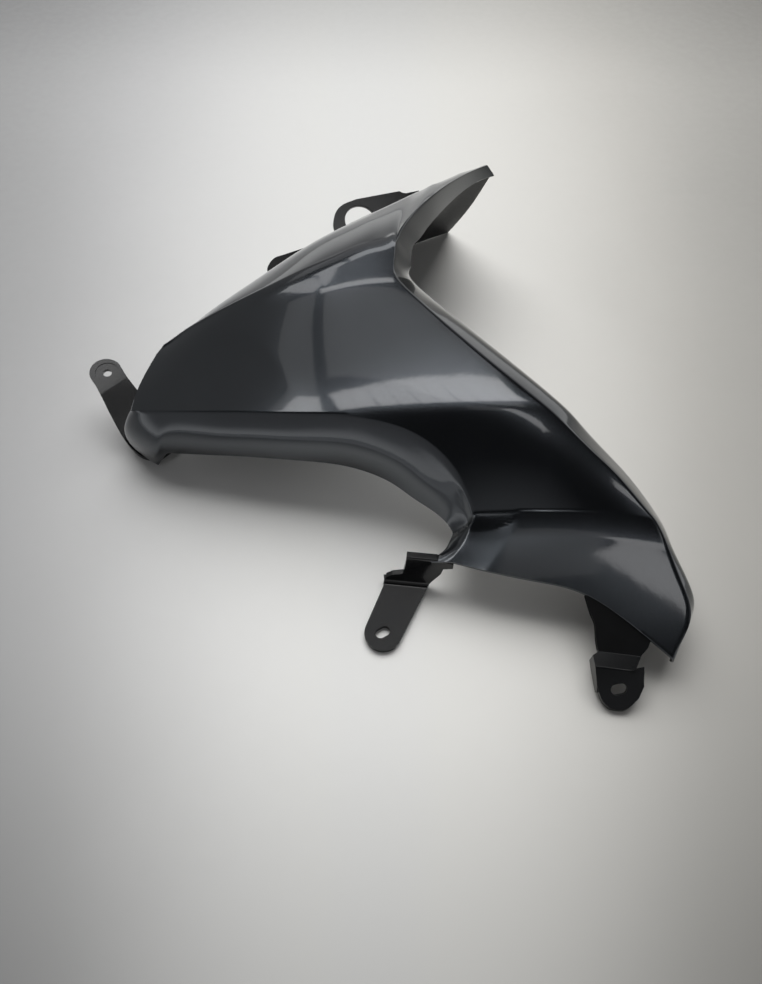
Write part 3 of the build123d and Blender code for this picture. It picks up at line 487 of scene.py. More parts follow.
# the strip behind the ridge runs out evenly along the edge of the wing
uo, _, count_o, _, _ = edge_table(OF)
held = np.unique(np.concatenate([uo[count_o == 1].ravel(), np.unique(OF[outer_region != "back"])]))
calm = ease((OUTER[:, 0] + 2) / 16) * np.isin(np.arange(len(OUTER)), np.setdiff1d(on_back, held))
degree = np.bincount(uo.ravel(), minlength=len(OUTER))[:, None]
for _ in range(90):
    around_it = np.zeros_like(OUTER)
    np.add.at(around_it, uo[:, 0], OUTER[uo[:, 1]])
    np.add.at(around_it, uo[:, 1], OUTER[uo[:, 0]])
    OUTER += 0.5 * calm[:, None] * (around_it / degree - OUTER)

# inner skin, one wall inside the outer one
L3, F3 = refine(cage, IN_LEVEL)
fn = np.cross(L3[F3[:, 2]] - L3[F3[:, 0]], L3[F3[:, 3]] - L3[F3[:, 1]])
fn /= np.linalg.norm(fn, axis=1)[:, None]
around = [[] for _ in TARGET]
for k, f in enumerate(F3):
    for i in f:
        if i < len(TARGET):
            around[i].append(k)
nose = POINT["ridge", 16]
step = np.zeros_like(TARGET)
for i, fs in enumerate(around):
    d = np.linalg.norm(TARGET[i] - nose)
    t = TIP_WALL + (WALL - TIP_WALL) * min(1.0, max(0.0, (d - 4.0) / 30.0))
    o = np.linalg.pinv(fn[fs], rcond=0.16) @ (-t * np.ones(len(fs)))
    step[i] = o * min(1.0, 1.7 * t / np.linalg.norm(o))
u0 = edge_table(QUADS)[0]
for _ in range(3):
    s, w = step * 1.0, np.ones((len(step), 1))
    for a, b in u0:
        k = math.exp(-np.linalg.norm(TARGET[a] - TARGET[b]) / NARROW)
        s[a] += k * step[b]
        s[b] += k * step[a]
        w[a] += k
        w[b] += k
    step = s / w
INNER, IF = refine(cage_through(TARGET + step), IN_LEVEL)

# rounded rim from the outer to the inner skin
nv3 = len(INNER)
u3, _, count3, _, _ = edge_table(IF)
rim3 = {(int(a), int(b)) for (a, b), c in zip(u3, count3) if c == 1}
directed = {}
for f in IF:
    for k in range(4):
        a, b = int(f[k]), int(f[(k + 1) % 4])
        if (min(a, b), max(a, b)) in rim3:
            directed[a] = b
loop = [next(iter(directed))]
while directed[loop[-1]] != loop[0]:
    loop.append(directed[loop[-1]])
assert len(loop) == len(rim3), "the rim is one loop"
u4, _, count4, _, _ = edge_table(OF)
beside = {}
for a, b in u4[count4 == 1]:
    beside.setdefault(int(a), set()).add(int(b))
    beside.setdefault(int(b), set()).add(int(a))
ring = []
for a, b in zip(loop, loop[1:] + loop[:1]):
    ring += [a, next(iter(beside[a] & beside[b]))]
nr = len(ring)
RO = OUTER[ring]
RI = np.zeros_like(RO)
RI[0::2] = INNER[loop]
RI[1::2] = (INNER[loop] + INNER[loop[1:] + loop[:1]]) / 2
# direction out of the edge: square to the edge and to the wall
along = np.roll(RO, -1, 0) - np.roll(RO, 1, 0)
along /= np.linalg.norm(along, axis=1)[:, None]
through = RI - RO
thick = np.linalg.norm(through, axis=1)[:, None]
out_dir = np.cross(along, through)
out_dir /= np.linalg.norm(out_dir, axis=1)[:, None]
inward = np.zeros_like(RO)
of_rim = {}
pos = {v: k for k, v in enumerate(ring)}
for f in OF:
    hit = [v for v in f if int(v) in pos]
    if hit:
        c = OUTER[f].mean(0)
        for v in hit:
            inward[pos[int(v)]] += c - OUTER[v]
out_dir *= np.where((out_dir * inward).sum(1) > 0, -1, 1)[:, None]
RINGS = []
for share, bulge in ((0.10, 0.13), (0.27, 0.23), (0.5, 0.27), (0.73, 0.23), (0.90, 0.13)):
    RINGS.append(RO + share * through + bulge * thick * 0.7 * out_dir)

verts = [OUTER, INNER] + RINGS
base_in = len(OUTER)
base_r = base_in + len(INNER)
faces = [tuple(int(i) for i in f) for f in OF]
kinds = [0] * len(OF)
faces += [tuple(int(i) + base_in for i in f[::-1]) for f in IF]
kinds += [1] * len(IF)
rows_of = [ring] + [[base_r + k * nr + j for j in range(nr)] for k in range(len(RINGS))]
for a, b, kind in zip(rows_of[:-1], rows_of[1:], (0, 0, 0, 1, 1)):
    for j in range(nr):
        k = (j + 1) % nr
        faces.append((a[k], a[j], b[j], b[k]))
        kinds.append(kind)
last = rows_of[-1]
for j in range(0, nr, 2):
    k, m = j + 1, (j + 2) % nr
    i0, i1 = base_in + ring[j], base_in + ring[m]
    faces += [(last[k], last[j], i0), (last[m], last[k], i1), (last[k], i0, i1)]
    kinds += [1, 1, 1]
SHELL_V = np.concatenate(verts)

# ---------------------------------------------------------------- tabs, mm, drawn in their own axes and shifted into the panel frame
UP = np.array([0.0, 0.0, 1.0])
scene = bpy.context.scene


def mesh_object(name, V, F):
    me = bpy.data.meshes.new(name)
    me.from_pydata([tuple(float(x) for x in p) for p in V], [], F)
    me.update()
    ob = bpy.data.objects.new(name, me)
    scene.collection.objects.link(ob)
    return ob


def prism(name, ring, sweep):
    """Closed prism over a flat ring of points."""
    ring = [np.asarray(p, float) for p in ring]
    n = len(ring)
    normal = np.zeros(3)
    for a, b in zip(ring, ring[1:] + ring[:1]):
        normal += np.cross(a - ring[0], b - ring[0])
    if normal @ sweep < 0:
        ring = ring[::-1]
    V = ring + [p + sweep for p in ring]
    F = [tuple(range(n))[::-1], tuple(range(n, 2 * n))]
    F += [(j, (j + 1) % n, n + (j + 1) % n, n + j) for j in range(n)]
    return mesh_object(name, V, F)


def flat_mesh(ob):
    dg = bpy.context.evaluated_depsgraph_get()
    me = bpy.data.meshes.new_from_object(ob.evaluated_get(dg))
    ob.modifiers.clear()
    old = ob.data
    ob.data = me
    bpy.data.meshes.remove(old)
    return ob


def combine(a, b, how):
    m = a.modifiers.new("combine", "BOOLEAN")
    m.operation, m.solver, m.object = how, "EXACT", b
    flat_mesh(a)
    me = b.data
    bpy.data.objects.remove(b)
    bpy.data.meshes.remove(me)
    return a


def arc_corner(p, a, b, r, n=9):
    """Points of a rounded corner at p between neighbours a and b."""
    da, db = (a - p) / np.linalg.norm(a - p), (b - p) / np.linalg.norm(b - p)
    half = math.acos(max(-1, min(1, float(da @ db)))) / 2
    t = r / math.tan(half)
    bis = (da + db) / np.linalg.norm(da + db)
    c = p + bis * r / math.sin(half)
    p0, p1 = p + da * t - c, p + db * t - c
    turn = math.atan2(p0[0] * p1[1] - p0[1] * p1[0], float(p0 @ p1))
    out = []
    for k in range(n):
        g = turn * k / (n - 1)
        out.append(c + np.array([p0[0] * math.cos(g) - p0[1] * math.sin(g), p0[0] * math.sin(g) + p0[1] * math.cos(g)]))
    return out


def bent_strip(name, along, across, line, bends, lo, hi):
    """Folded strip: upper line (distance along, height), bend radii of the upper side, width lo..hi across."""
    pts = np.array(line, float)
    d = np.diff(pts, axis=0)
    d /= np.linalg.norm(d, axis=1)[:, None]
    nrm = np.stack([d[:, 1], -d[:, 0]], 1)
    low = [pts[0] + TAB_T * nrm[0]]
    for k in range(1, len(pts) - 1):
        m = nrm[k - 1] + nrm[k]
        low.append(pts[k] + TAB_T * m / (m @ nrm[k]))
    low.append(pts[-1] + TAB_T * nrm[-1])
    ring = list(pts) + low[::-1]
    radii = {}
    for k, r in bends.items():
        turn = d[k - 1][0] * d[k][1] - d[k - 1][1] * d[k][0]
        radii[k] = r
        radii[2 * len(pts) - 1 - k] = r + TAB_T if turn > 0 else max(r - TAB_T, 0.4)
    full = []
    for k, p in enumerate(ring):
        if k in radii:
            full += arc_corner(p, ring[k - 1], ring[(k + 1) % len(ring)], radii[k])
        else:
            full.append(p)
    return prism(name, [along * q[0] + UP * q[1] + across * lo for q in full], across * (hi - lo))


def smooth_line(pts, n=7):
    """Points along a smooth curve through pts, without its last point."""
    p = np.array(pts, float)
    ext = np.concatenate([[2 * p[0] - p[1]], p, [2 * p[-1] - p[-2]]])
    out = []
    for k in range(1, len(ext) - 2):
        a, b, c, d = ext[k - 1:k + 3]
        for j in range(n):
            t = j / n
            out.append(0.5 * (2 * b + (c - a) * t + (2 * a - 5 * b + 4 * c - d) * t * t + (3 * b - a - 3 * c + d) * t ** 3))
    return out


def arc_line(c, r, a0, a1, n=28):
    """Points of an arc about c from angle a0 to a1, without its last point."""
    return [np.array([c[0] + r * math.cos(a0 + (a1 - a0) * k / n), c[1] + r * math.sin(a0 + (a1 - a0) * k / n)]) for k in range(n)]


def cylinder(name, centre, normal, r, below, above, n=56):
    x = np.cross(normal, [0.3, 1.0, 0.2])
    x /= np.linalg.norm(x)
    y = np.cross(normal, x)
    base = np.asarray(centre) - normal * below
    return prism(name, [base + r * (x * math.cos(2 * math.pi * k / n) + y * math.sin(2 * math.pi * k / n)) for k in range(n)],
                 normal * (below + above))


def slot_cutter(name, centre, direction, normal, length=9.2, width=6.2, n=20):
    x = np.asarray(direction, float)
    x = x / np.linalg.norm(x)
    y = np.cross(normal, x)
    r, h = width / 2, (length - width) / 2
    ring = []
    for s in (1, -1):
        for k in range(n + 1):
            g = -math.pi / 2 + math.pi * k / n + (0 if s > 0 else math.pi)
            ring.append(np.asarray(centre) - normal * 8 + x * (s * h + r * math.cos(g)) + y * r * math.sin(g))
    return prism(name, ring, normal * 16)


def soften(ob, width, segments=2, angle=33):
    m = ob.modifiers.new("edges", "BEVEL")
    m.width, m.segments, m.limit_method, m.angle_limit = width, segments, "ANGLE", math.radians(angle)
    m.use_clamp_overlap = True
    return flat_mesh(ob)


tabs = []

# left tab: strip rising from the foot of the front wall, folded to an end plate with a round hole
q = math.sqrt(0.5)
lu, lv = np.array([-q, q, 0.0]), np.array([q, q, 0.0])
fold_z = 3.0 + (362.5 - 319.0) * math.tan(math.radians(30.2))
tip = math.radians(10.0)
left_tab = bent_strip("left_tab", lu, lv, [(300, 3), (319, 3), (362.5, fold_z), (392.5, fold_z + 30 * math.tan(tip))],
                      {1: 12.0, 2: 1.6}, 78, 120)
outline = smooth_line([(372.9, 93.25), (362.5, 90.8), (352, 88.0), (342, 85.6), (334, 84.2), (327, 84.0), (320, 85.5),
                       (314, 88.5), (309, 92.5)])
outline += [np.array(p) for p in ((309, 92.5), (309, 112), (345, 112.4), (362.5, 112.7))]
outline += arc_line((374.3, 104.15), 10.9, math.pi / 2, -math.pi / 2)
left_tab = combine(left_tab, prism("cut", [lu * p[0] + lv * p[1] - UP * 5 for p in outline], UP * 60), "INTERSECT")
tip_n = UP * math.cos(tip) - lu * math.sin(tip)
hole_at = lu * (362.5 + 11.2 * math.cos(tip)) + lv * 104.65 + UP * (fold_z + 11.2 * math.sin(tip))
left_tab = combine(left_tab, cylinder("cut", hole_at, tip_n, 3.0, 8, 8), "DIFFERENCE")
left_tab = combine(left_tab, cylinder("cut", hole_at, tip_n, 8.0, 0.4, 4), "DIFFERENCE")
tabs.append(left_tab)

# lower-centre tab: wall dropping from the end of the front wall to a flat plate with a slot
cf = np.array([0.99499, -0.1, 0.0])
cf /= np.linalg.norm(cf)
cp = np.array([cf[1], -cf[0], 0.0])
strip_line = [(-202.6, 25.0), (-198.4, 25.0), (-191.6, TAB_T), (-138, TAB_T)]
front_view = [(-4.3, 30), (-4.8, 20), (-6, 11.2), (-12.5, 9.4), (-16.2, 6.8), (-17.5, 3.5), (-18, -1), (9.2, -1),
              (9.8, 3), (13.5, 8.5), (17, 13.5), (18.2, 18), (24, 19), (24, 22.6), (14, 24.4), (13, 30)]
wall_box = prism("cut", [cp * -206 + cf * p[0] + UP * p[1] for p in front_view], cp * 15.2)
ce, cr, ca = np.array([1.3, 158.9]), 11.3, math.radians(26)
e_l = ce + cr * np.array([-math.cos(ca), math.sin(ca)])
e_r = ce + cr * np.array([math.cos(ca), -math.sin(ca)])
plate = [e_r, np.array([29.7, 190.2]), np.array([28.6, 193.2]), np.array([1.6, 196.0]), np.array([2.2, 191.2])]
plate += arc_line(ce, cr, math.pi - ca, 2 * math.pi - ca)
plate_box = prism("cut", [np.array([p[0], p[1], -1.0]) for p in plate], UP * 6.5)
centre_tab = combine(bent_strip("centre_tab", cp, cf, strip_line, {1: 1.2, 2: 3.5}, -40, 60), combine(wall_box, plate_box, "UNION"),
                     "INTERSECT")
centre_tab = combine(centre_tab, slot_cutter("cut", (1.0, 159.2, 1.5), (0.87, 0.492, 0), UP), "DIFFERENCE")
tabs.append(centre_tab)

# lower-right tab: web under the leg, shelf, and a sloping plate with a slot
rf = np.array([0.9915, -0.1299, 0.0])
rf /= np.linalg.norm(rf)
rp = np.array([rf[1], -rf[0], 0.0])
rs = math.radians(29.7)
shelf, top = 14.6, -148.93
right_tab = bent_strip("right_tab", rp, rf, [(-192, 25.4), (-157.8, shelf + 0.9), (top, shelf),
                                             (top + 24 * math.cos(rs), shelf - 24 * math.sin(rs))], {1: 2.0, 2: 3.6}, 80, 160)
plan = [np.array(p) for p in ((131.7, -142.5), (126.4, -145.8), (121.6, top), (126.2, -149.6), (129.5, -158.5),
                              (133.0, -162.9), (136.0, -172.0), (137.0, -190.2), (126.0, -189.4))]
plan += smooth_line([(96.0, -188.4), (99.7, -178.7), (102.4, -173.1), (103.6, -164.1), (105.1, -157.8)])
plan += [np.array([105.1, -157.8]), np.array([102.0, -155.3])]
plan += smooth_line([(105.5, -139.6), (109.1, -133.1), (114.0, -129.7), (119.6, -129.1), (124.4, -130.9), (129.4, -136.1)])
plan += [np.array([129.4, -136.1])]
right_tab = combine(right_tab, prism("cut", [rf * p[0] + rp * p[1] - UP * 6 for p in plan], UP * 50), "INTERSECT")
plate_n = rp * math.sin(rs) + UP * math.cos(rs)
plate_d = rp * math.cos(rs) - UP * math.sin(rs)
slot_at = rf * 117.89 + rp * top + UP * shelf + plate_d * 11.2
a18 = math.radians(18)
right_tab = combine(right_tab, slot_cutter("cut", slot_at, rf * math.cos(a18) - plate_d * math.sin(a18), plate_n), "DIFFERENCE")
side = [(-155.3, shelf - 0.4), (top, shelf - 0.4), (-139.6, 8.6), (-136.8, 5.6), (-138, 2.4), (-149, 4.4), (-155.3, 6.4)]
sd = rp * 15.7 + rf * 3.5
sd /= np.linalg.norm(sd)
s0 = rf * 102.0 + rp * -155.3
right_tab = combine(right_tab, prism("add", [s0 + sd * ((p[0] + 155.3) * 1.0246) + UP * p[1] for p in side], np.cross(UP, sd) * 2.2),
                    "UNION")
facet = [rf * 121.1 + rp * top + UP * (shelf - 0.5), rf * 131.6 + rp * -142.1 + UP * 10.2, rf * 132.0 + rp * -153.5 + UP * 11.9]
right_tab = combine(right_tab, prism("add", facet, UP * -2.4), "UNION")
tabs.append(right_tab)

# ring lug and small flange tab on the outside of the back wall
bx, by = np.array([0.91381, 0.40614, 0.0]), np.array([-0.40614, 0.91381, 0.0])


def back_plate(name, origin, rise, pts):
    r = math.radians(rise)
    ey = by * math.cos(r) + UP * math.sin(r)
    n = np.cross(bx, ey)
    o = np.array(origin, float)
    return prism(name, [o + bx * p[0] + ey * p[1] for p in pts], n * -TAB_T), o, ey, n


lug_line = smooth_line([(-21.0, -16), (-21.9, -2.8), (-20.0, 4.2), (-15.1, 11.0), (-7.9, 14.9), (4.1, 16.2)])
lug_line += [(4.1, 16.2), (41.2, 12.8), (43.7, 10.5), (46, 9.6), (57.4, 8.8), (57.4, -21.5), (48, -22.3), (36, -23.2),
             (24, -24.3), (12, -24.8), (0, -28.2), (-12, -32.4), (-15, -33.0)]
ring_lug, ro, rey, rn = back_plate("ring_lug", (-18.1, 497.18, 32), 28.0, lug_line)
ring_lug = combine(ring_lug, cylinder("cut", ro + bx * 1.2 - rey * 1.6, rn, 12.6, 8, 8, 72), "DIFFERENCE")
tabs.append(ring_lug)
tab_line = smooth_line([(-12.0, -14), (-15.3, -4.0), (-13.6, 0.85), (-6.8, 5.8), (2.45, 6.4)])
tab_line += [(2.45, 6.4), (20.1, 7.0), (22, 5), (22, -22.3), (14, -24.6), (6, -27.1), (-2, -29.7), (-8, -31.7)]
small_tab = back_plate("small_tab", (-74.22, 449.43, 30), 20.0, tab_line)[0]
tabs.append(small_tab)

# ---------------------------------------------------------------- materials


def material(name):
    m = bpy.data.materials.new(name)
    m.use_nodes = True
    nt = m.node_tree
    return m, nt.nodes, nt.links, nt.nodes["Principled BSDF"]


def place(nodes, links, scale):
    tc = nodes.new("ShaderNodeTexCoord")
    mp = nodes.new("ShaderNodeMapping")
    mp.inputs["Scale"].default_value = (scale, scale, scale)
    links.new(tc.outputs["Object"], mp.inputs["Vector"])
    return mp.outputs["Vector"]


def noise(nodes, links, where, scale, detail=3.0, rough=0.55):
    n = nodes.new("ShaderNodeTexNoise")
    n.inputs["Scale"].default_value = scale
    n.inputs["Detail"].default_value = detail
    n.inputs["Roughness"].default_value = rough
    links.new(where, n.inputs["Vector"])
    return n.outputs["Fac"]


def ramp(nodes, links, fac, stops):
    r = nodes.new("ShaderNodeValToRGB")
    while len(r.color_ramp.elements) < len(stops):
        r.color_ramp.elements.new(0.5)
    for e, (p, c) in zip(r.color_ramp.elements, stops):
        e.position = p
        e.color = (*c, 1.0)
    links.new(fac, r.inputs["Fac"])
    return r.outputs["Color"]


def spread(nodes, links, fac, lo, hi, a=0.3, b=0.7):
    r = nodes.new("ShaderNodeMapRange")
    r.inputs["From Min"].default_value, r.inputs["From Max"].default_value = a, b
    r.inputs["To Min"].default_value, r.inputs["To Max"].default_value = lo, hi
    links.new(fac, r.inputs["Value"])
    return r.outputs["Result"]


def bump(nodes, links, height, strength, distance, below=None):
    b = nodes.new("ShaderNodeBump")
    b.inputs["Strength"].default_value = strength
    b.inputs["Distance"].default_value = distance
    links.new(height, b.inputs["Height"])
    if below is not None:
        links.new(below, b.inputs["Normal"])
    return b.outputs["Normal"]


def lacquer():
    m, nodes, links, bsdf = material("graphite_lacquer")
    at = place(nodes, links, 1.0)
    flakes = noise(nodes, links, at, 2600.0, 2.0, 0.6)
    cloud = noise(nodes, links, at, 14.0, 3.0, 0.5)
    mix = nodes.new("ShaderNodeMath")
    mix.operation = "MULTIPLY_ADD"
    mix.inputs[1].default_value = 0.35
    links.new(cloud, mix.inputs[0])
    links.new(flakes, mix.inputs[2])
    links.new(ramp(nodes, links, mix.outputs[0], [(0.35, PAINT[0]), (0.66, PAINT[1]), (0.95, PAINT[2])]), bsdf.inputs["Base Color"])
    bsdf.inputs["Metallic"].default_value = 0.95
    links.new(spread(nodes, links, cloud, 0.20, 0.23), bsdf.inputs["Roughness"])
    bsdf.inputs["Coat Weight"].default_value = 1.0
    bsdf.inputs["Coat Roughness"].default_value = 0.05
    bsdf.inputs["Coat IOR"].default_value = 1.5
    peel = noise(nodes, links, at, 420.0, 2.0, 0.45)
    wave = noise(nodes, links, at, 60.0, 1.0, 0.4)
    n1 = bump(nodes, links, peel, 0.05, 0.00012)
    n2 = bump(nodes, links, wave, 0.05, 0.0006, n1)
    links.new(n2, bsdf.inputs["Coat Normal"])
    links.new(bump(nodes, links, flakes, 0.10, 0.00006, n2), bsdf.inputs["Normal"])
    return m


def moulded(name, tones, rough, grain, depth, shine=0.5):
    m, nodes, links, bsdf = material(name)
    at = place(nodes, links, 1.0)
    cloud = noise(nodes, links, at, 38.0, 4.0, 0.55)
    fine = noise(nodes, links, at, grain, 3.0, 0.6)
    links.new(ramp(nodes, links, cloud, [(0.30, tones[0]), (0.70, tones[1])]), bsdf.inputs["Base Color"])
    links.new(spread(nodes, links, fine, rough[0], rough[1]), bsdf.inputs["Roughness"])
    bsdf.inputs["Specular IOR Level"].default_value = shine
    links.new(bump(nodes, links, fine, depth, 0.00015), bsdf.inputs["Normal"])
    return m


PAINT = ((0.034, 0.038, 0.043), (0.046, 0.0515, 0.058), (0.066, 0.073, 0.081))
mats = [lacquer(),
        moulded("bare_plastic", ((0.008, 0.0083, 0.0086), (0.014, 0.0143, 0.0146)), (0.42, 0.56), 900.0, 0.35),
        moulded("satin_tab", ((0.004, 0.0043, 0.0047), (0.0068, 0.0072, 0.0078)), (0.14, 0.19), 1400.0, 0.08),
        # darker copy of the tab plastic for the web under the leg: painted shade where the leg shades it, as well as a
        # matt finish
        moulded("web_matt_with_painted_shade", ((0.003, 0.0031, 0.0033), (0.005, 0.0052, 0.0055)), (0.45, 0.60), 900.0, 0.25, 0.1),
        moulded("dull_lug", ((0.004, 0.0043, 0.0047), (0.0068, 0.0072, 0.0078)), (0.20, 0.26), 1400.0, 0.10, 0.28)]

# ---------------------------------------------------------------- one moulding: shell and tabs joined
shell = mesh_object("panel", SHELL_V, faces)
for m in mats:
    shell.data.materials.append(m)
shell.data.polygons.foreach_set("material_index", np.array(kinds, np.int32))
for t in tabs:
    soften(t, 0.35)
    for m in mats:
        t.data.materials.append(m)
    # the web faces under the leg take the darker copy: painted shade
    web = [t is right_tab and Vector(rp).dot(f.center) < -158.5 for f in t.data.polygons]
    t.data.polygons.foreach_set("material_index", np.where(web, 3, 4 if t in (ring_lug, small_tab) else 2).astype(np.int32))
    t.data.transform(Matrix.Translation(Vector(SHIFT)))
for t in tabs:
    combine(shell, t, "UNION")
panel = shell
me = panel.data
me.transform(Matrix.Scale(0.001, 4))
bm = bmesh.new()
bm.from_mesh(me)
bmesh.ops.remove_doubles(bm, verts=bm.verts[:], dist=2e-6)
bmesh.ops.triangulate(bm, faces=[f for f in bm.faces if len(f.verts) > 4])
# slivers left where the tabs meet the shell are taken out
for _ in range(6):
    bm.verts.index_update()
    same = {}
    for f in bm.faces:
        same.setdefault(frozenset(v.index for v in f.verts), []).append(f)
    stray = [f for fs in same.values() if len(fs) > 1 for f in fs]
    stray += [f for f in bm.faces if f not in stray and any(len(e.link_faces) == 1 for e in f.edges)]
    if not stray:
        break
    bmesh.ops.delete(bm, geom=stray, context="FACES")
for f in bm.faces:
    f.smooth = True
for e in bm.edges:
    flat = all(f.material_index > 1 for f in e.link_faces)
    if len(e.link_faces) == 2 and e.calc_face_angle(0.0) > math.radians(12 if flat else 40):
        e.smooth = False
print("panel", len(bm.verts), "verts", len(bm.faces), "faces", "open edges",
      sum(len(e.link_faces) != 2 for e in bm.edges), "volume", round(bm.calc_volume() * 1e9, 1),
      "triangles", sum(len(f.verts) - 2 for f in bm.faces))
bm.to_mesh(me)
bm.free()
me.update()
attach(panel, "root")
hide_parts("fairing_panel")

# ---------------------------------------------------------------- floor, light and camera
floor = mesh_object("floor", [(-6, -6, 0), (6, -6, 0), (6, 6, 0), (-6, 6, 0)], [(0, 1, 2, 3)])
# the floor's colour carries a painted pool of light, set up below
fm, nodes, links, bsdf = material("pale_floor_with_painted_light_pool")
at = place(nodes, links, 1.0)
aside = nodes.new("ShaderNodeSeparateXYZ")
links.new(at, aside.inputs[0])


def sum_node(how, a, b, c=None):
    n = nodes.new("ShaderNodeMath")
    n.operation = how
    for socket, v in zip(n.inputs, (a, b, c)):
        if isinstance(v, (int, float)):
            socket.default_value = v
        elif v is not None:
            links.new(v, socket)
    return n.outputs[0]


def grey_ramp(value, stops):
    r = ramp(nodes, links, value, [(p, (c, c * 0.998, c * 0.989)) for p, c in stops])
    r.node.color_ramp.interpolation = "B_SPLINE"
    return r


# painted pool of light: the floor's colour is brightest around the panel and darker towards the sides and the far back,
# and the bright patch widens away from the viewer
widening = sum_node("MAXIMUM", sum_node("MULTIPLY_ADD", aside.outputs["Y"], 0.983, 1.0), 0.25)
across = sum_node("ABSOLUTE", sum_node("DIVIDE", sum_node("SUBTRACT", aside.outputs["X"], 0.008), widening), 0.0)
across = sum_node("MULTIPLY_ADD", noise(nodes, links, at, 6.0, 4.0, 0.5), 0.03, across)
along = sum_node("ADD", aside.outputs["Y"], 0.4)
painted_pool_x = grey_ramp(across, [(0.0, 1.02), (0.12, 1.0), (0.25, 0.47), (0.40, 0.36)])
painted_pool_y = grey_ramp(along, [(0.04, 0.44), (0.24, 1.03), (0.55, 0.70), (0.82, 0.69), (1.0, 0.36)])
painted_pool_colour = nodes.new("ShaderNodeMix")
painted_pool_colour.data_type, painted_pool_colour.blend_type = "RGBA", "MULTIPLY"
painted_pool_colour.inputs["Factor"].default_value = 1.0
links.new(painted_pool_x, painted_pool_colour.inputs["A"])
links.new(painted_pool_y, painted_pool_colour.inputs["B"])
# nearer than that, the floor is evenly pale again
front = grey_ramp(sum_node("MULTIPLY_ADD", aside.outputs["Y"], -1.0, -0.30), [(0.0, 0.0), (0.06, 0.0), (0.14, 0.60), (0.22, 0.88), (1.0, 0.90)])
whole = nodes.new("ShaderNodeMix")
whole.data_type, whole.blend_type = "RGBA", "LIGHTEN"
whole.inputs["Factor"].default_value = 1.0
links.new(painted_pool_colour.outputs["Result"], whole.inputs["A"])
links.new(front, whole.inputs["B"])
pale = whole.outputs["Result"]
tint = ramp(nodes, links, spread(nodes, links, aside.outputs["X"], 0.0, 1.0, -0.24, 0.24),
            [(0.0, (0.975, 0.98, 1.0)), (0.5, (1.0, 1.0, 0.985)), (1.0, (1.0, 0.98, 0.935))])
toned = nodes.new("ShaderNodeMix")
toned.data_type, toned.blend_type = "RGBA", "MULTIPLY"
toned.inputs["Factor"].default_value = 1.0
links.new(pale, toned.inputs["A"])
links.new(tint, toned.inputs["B"])
links.new(toned.outputs["Result"], bsdf.inputs["Base Color"])
links.new(spread(nodes, links, noise(nodes, links, at, 120.0, 3.0, 0.5), 0.45, 0.6), bsdf.inputs["Roughness"])
floor.data.materials.append(fm)


def softbox(name, corner_a, corner_b, depth, radiance, z=1.2):
    """Rectangular light at height z: two ends of its far edge, and its depth to the right of the line between them."""
    a, b = np.array(corner_a, float), np.array(corner_b, float)
    d = b - a
    ln = np.linalg.norm(d)
    side = np.array([d[1], -d[0]]) / ln
    c = (a + b) / 2 + side * depth / 2
    li = bpy.data.lights.new(name, "AREA")
    li.shape, li.size, li.size_y = "RECTANGLE", ln, depth
    li.energy = radiance * math.pi * ln * depth
    ob = bpy.data.objects.new(name, li)
    ob.location = (c[0], c[1], z)
    ob.rotation_euler = (0, 0, math.atan2(d[1], d[0]))
    ob.visible_camera = False
    ob.visible_diffuse = False
    scene.collection.objects.link(ob)
    return ob


def lamp(name, loc, aim, size, size_y, radiance, colour=(1.0, 1.0, 1.0)):
    li = bpy.data.lights.new(name, "AREA")
    li.shape, li.size, li.size_y = "RECTANGLE", size, size_y
    li.energy = radiance * math.pi * size * size_y
    li.color = colour
    ob = bpy.data.objects.new(name, li)
    ob.location = loc
    ob.rotation_euler = (Vector(aim) - Vector(loc)).to_track_quat("-Z", "Y").to_euler()
    ob.visible_camera = False
    ob.visible_glossy = False
    scene.collection.objects.link(ob)
    return ob


softbox("near_left", (-0.610, -0.128), (-0.434, -0.130), 0.20, 3.8)
# the right-hand window bows a little, so it is a row of narrow lights
BOW = ((-0.392, -0.118), (-0.315, -0.098), (-0.239, -0.076), (-0.160, -0.047), (-0.081, -0.015), (0.0, 0.022), (0.085, 0.064),
       (0.175, 0.118), (0.267, 0.179), (0.345, 0.233), (0.420, 0.288))
for k, (p, q) in enumerate(zip(BOW[:-1], BOW[1:])):
    softbox("near_right_%d" % k, p, q, 0.110 + 0.003 * k, 3.95)
softbox("far_left", (-0.667, 0.640), (-0.415, 0.500), 0.105, 2.6)
softbox("far_mid_a", (-0.515, 0.628), (-0.365, 0.735), 0.195, 2.6)
softbox("far_mid_b", (-0.330, 0.790), (0.200, 1.020), 0.270, 2.6)
softbox("far_right", (-0.425, 0.440), (0.040, 0.506), 0.082, 3.7)
softbox("leg_side", (0.498, -0.430), (0.318, -0.190), 0.080, 2.4)
softbox("dim_right", (-0.392, 0.360), (0.460, 0.360), 0.400, 0.72, 1.21)
softbox("dim_left", (-0.620, 0.390), (-0.445, 0.390), 0.520, 0.65, 1.21)
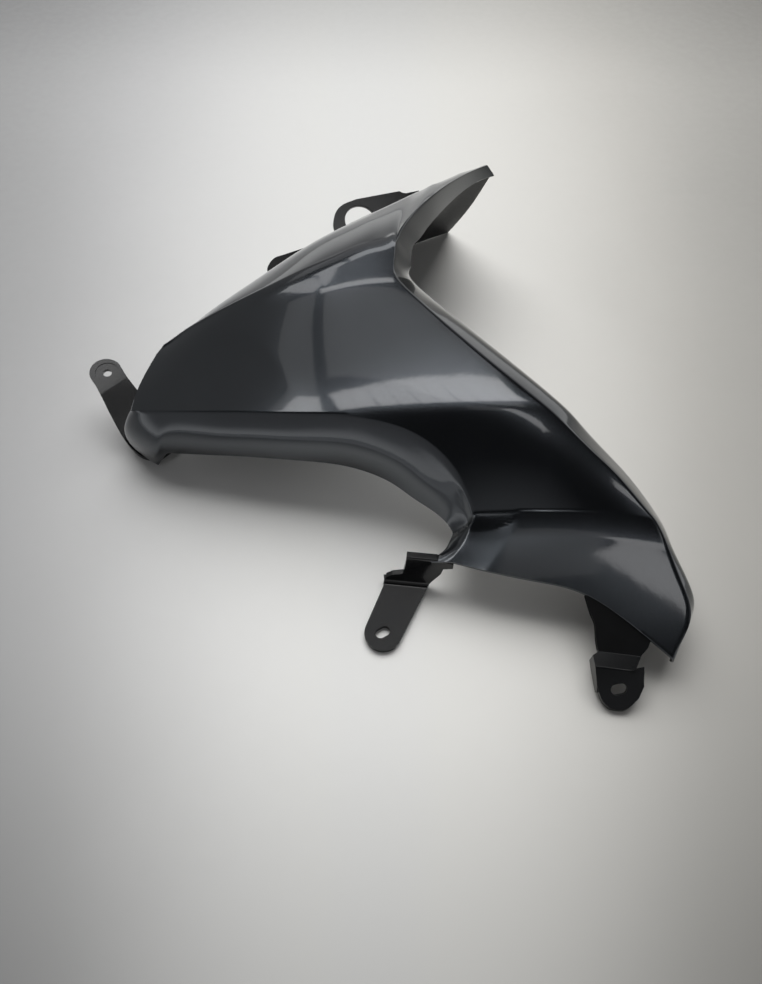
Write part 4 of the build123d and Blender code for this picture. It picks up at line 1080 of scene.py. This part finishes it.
softbox("dim_far_left", (-2.600, 2.200), (-0.620, 2.200), 2.270, 0.20, 1.22)
softbox("dim_far", (-0.800, 1.700), (0.900, 1.700), 0.780, 0.52, 1.21)
softbox("dim_far_out", (-0.800, 3.000), (1.200, 3.000), 1.300, 0.40, 1.21)
softbox("dim_leg", (0.165, -0.112), (0.330, -0.112), 0.140, 0.34)
lamp("bank", (0.0, 2.1, 2.1), (0.0, 0.0, 0.0), 4.0, 2.4, 4.75)

world = bpy.data.worlds.new("studio")
scene.world = world
world.use_nodes = True
nodes, links = world.node_tree.nodes, world.node_tree.links
tc = nodes.new("ShaderNodeTexCoord")
sep = nodes.new("ShaderNodeSeparateXYZ")
links.new(tc.outputs["Generated"], sep.inputs[0])
near_side = ramp(nodes, links, sep.outputs["Z"], [(0.0, (1.10, 1.10, 1.10)), (0.08, (0.90, 0.90, 0.905)), (0.19, (0.28, 0.28, 0.285)), (0.70, (0.20, 0.202, 0.208)),
                                                      (0.83, (0.016, 0.016, 0.017))])
far_side = ramp(nodes, links, sep.outputs["Z"], [(0.0, (1.0, 1.0, 0.985)), (0.10, (0.92, 0.92, 0.91)), (0.20, (0.50, 0.50, 0.497)), (0.32, (0.25, 0.25, 0.25)),
                                                     (0.5, (0.09, 0.09, 0.091)), (0.66, (0.03, 0.03, 0.031))])
both = nodes.new("ShaderNodeMix")
both.data_type = "RGBA"
links.new(spread(nodes, links, sep.outputs["Y"], 0.0, 1.0, -0.08, 0.08), both.inputs["Factor"])
links.new(near_side, both.inputs["A"])
links.new(far_side, both.inputs["B"])
links.new(both.outputs["Result"], nodes["Background"].inputs["Color"])

cam = bpy.data.cameras.new("camera")
cam.lens, cam.sensor_width, cam.sensor_fit = 739 / 984 * 36, 36.0, "AUTO"
cam_ob = bpy.data.objects.new("camera", cam)
cam_ob.location = (0.00811, -0.32067, 0.425)
cam_ob.rotation_euler = (math.radians(31.4), 0.0, 0.0)
scene.collection.objects.link(cam_ob)
scene.camera = cam_ob
scene.view_settings.view_transform = "Standard"
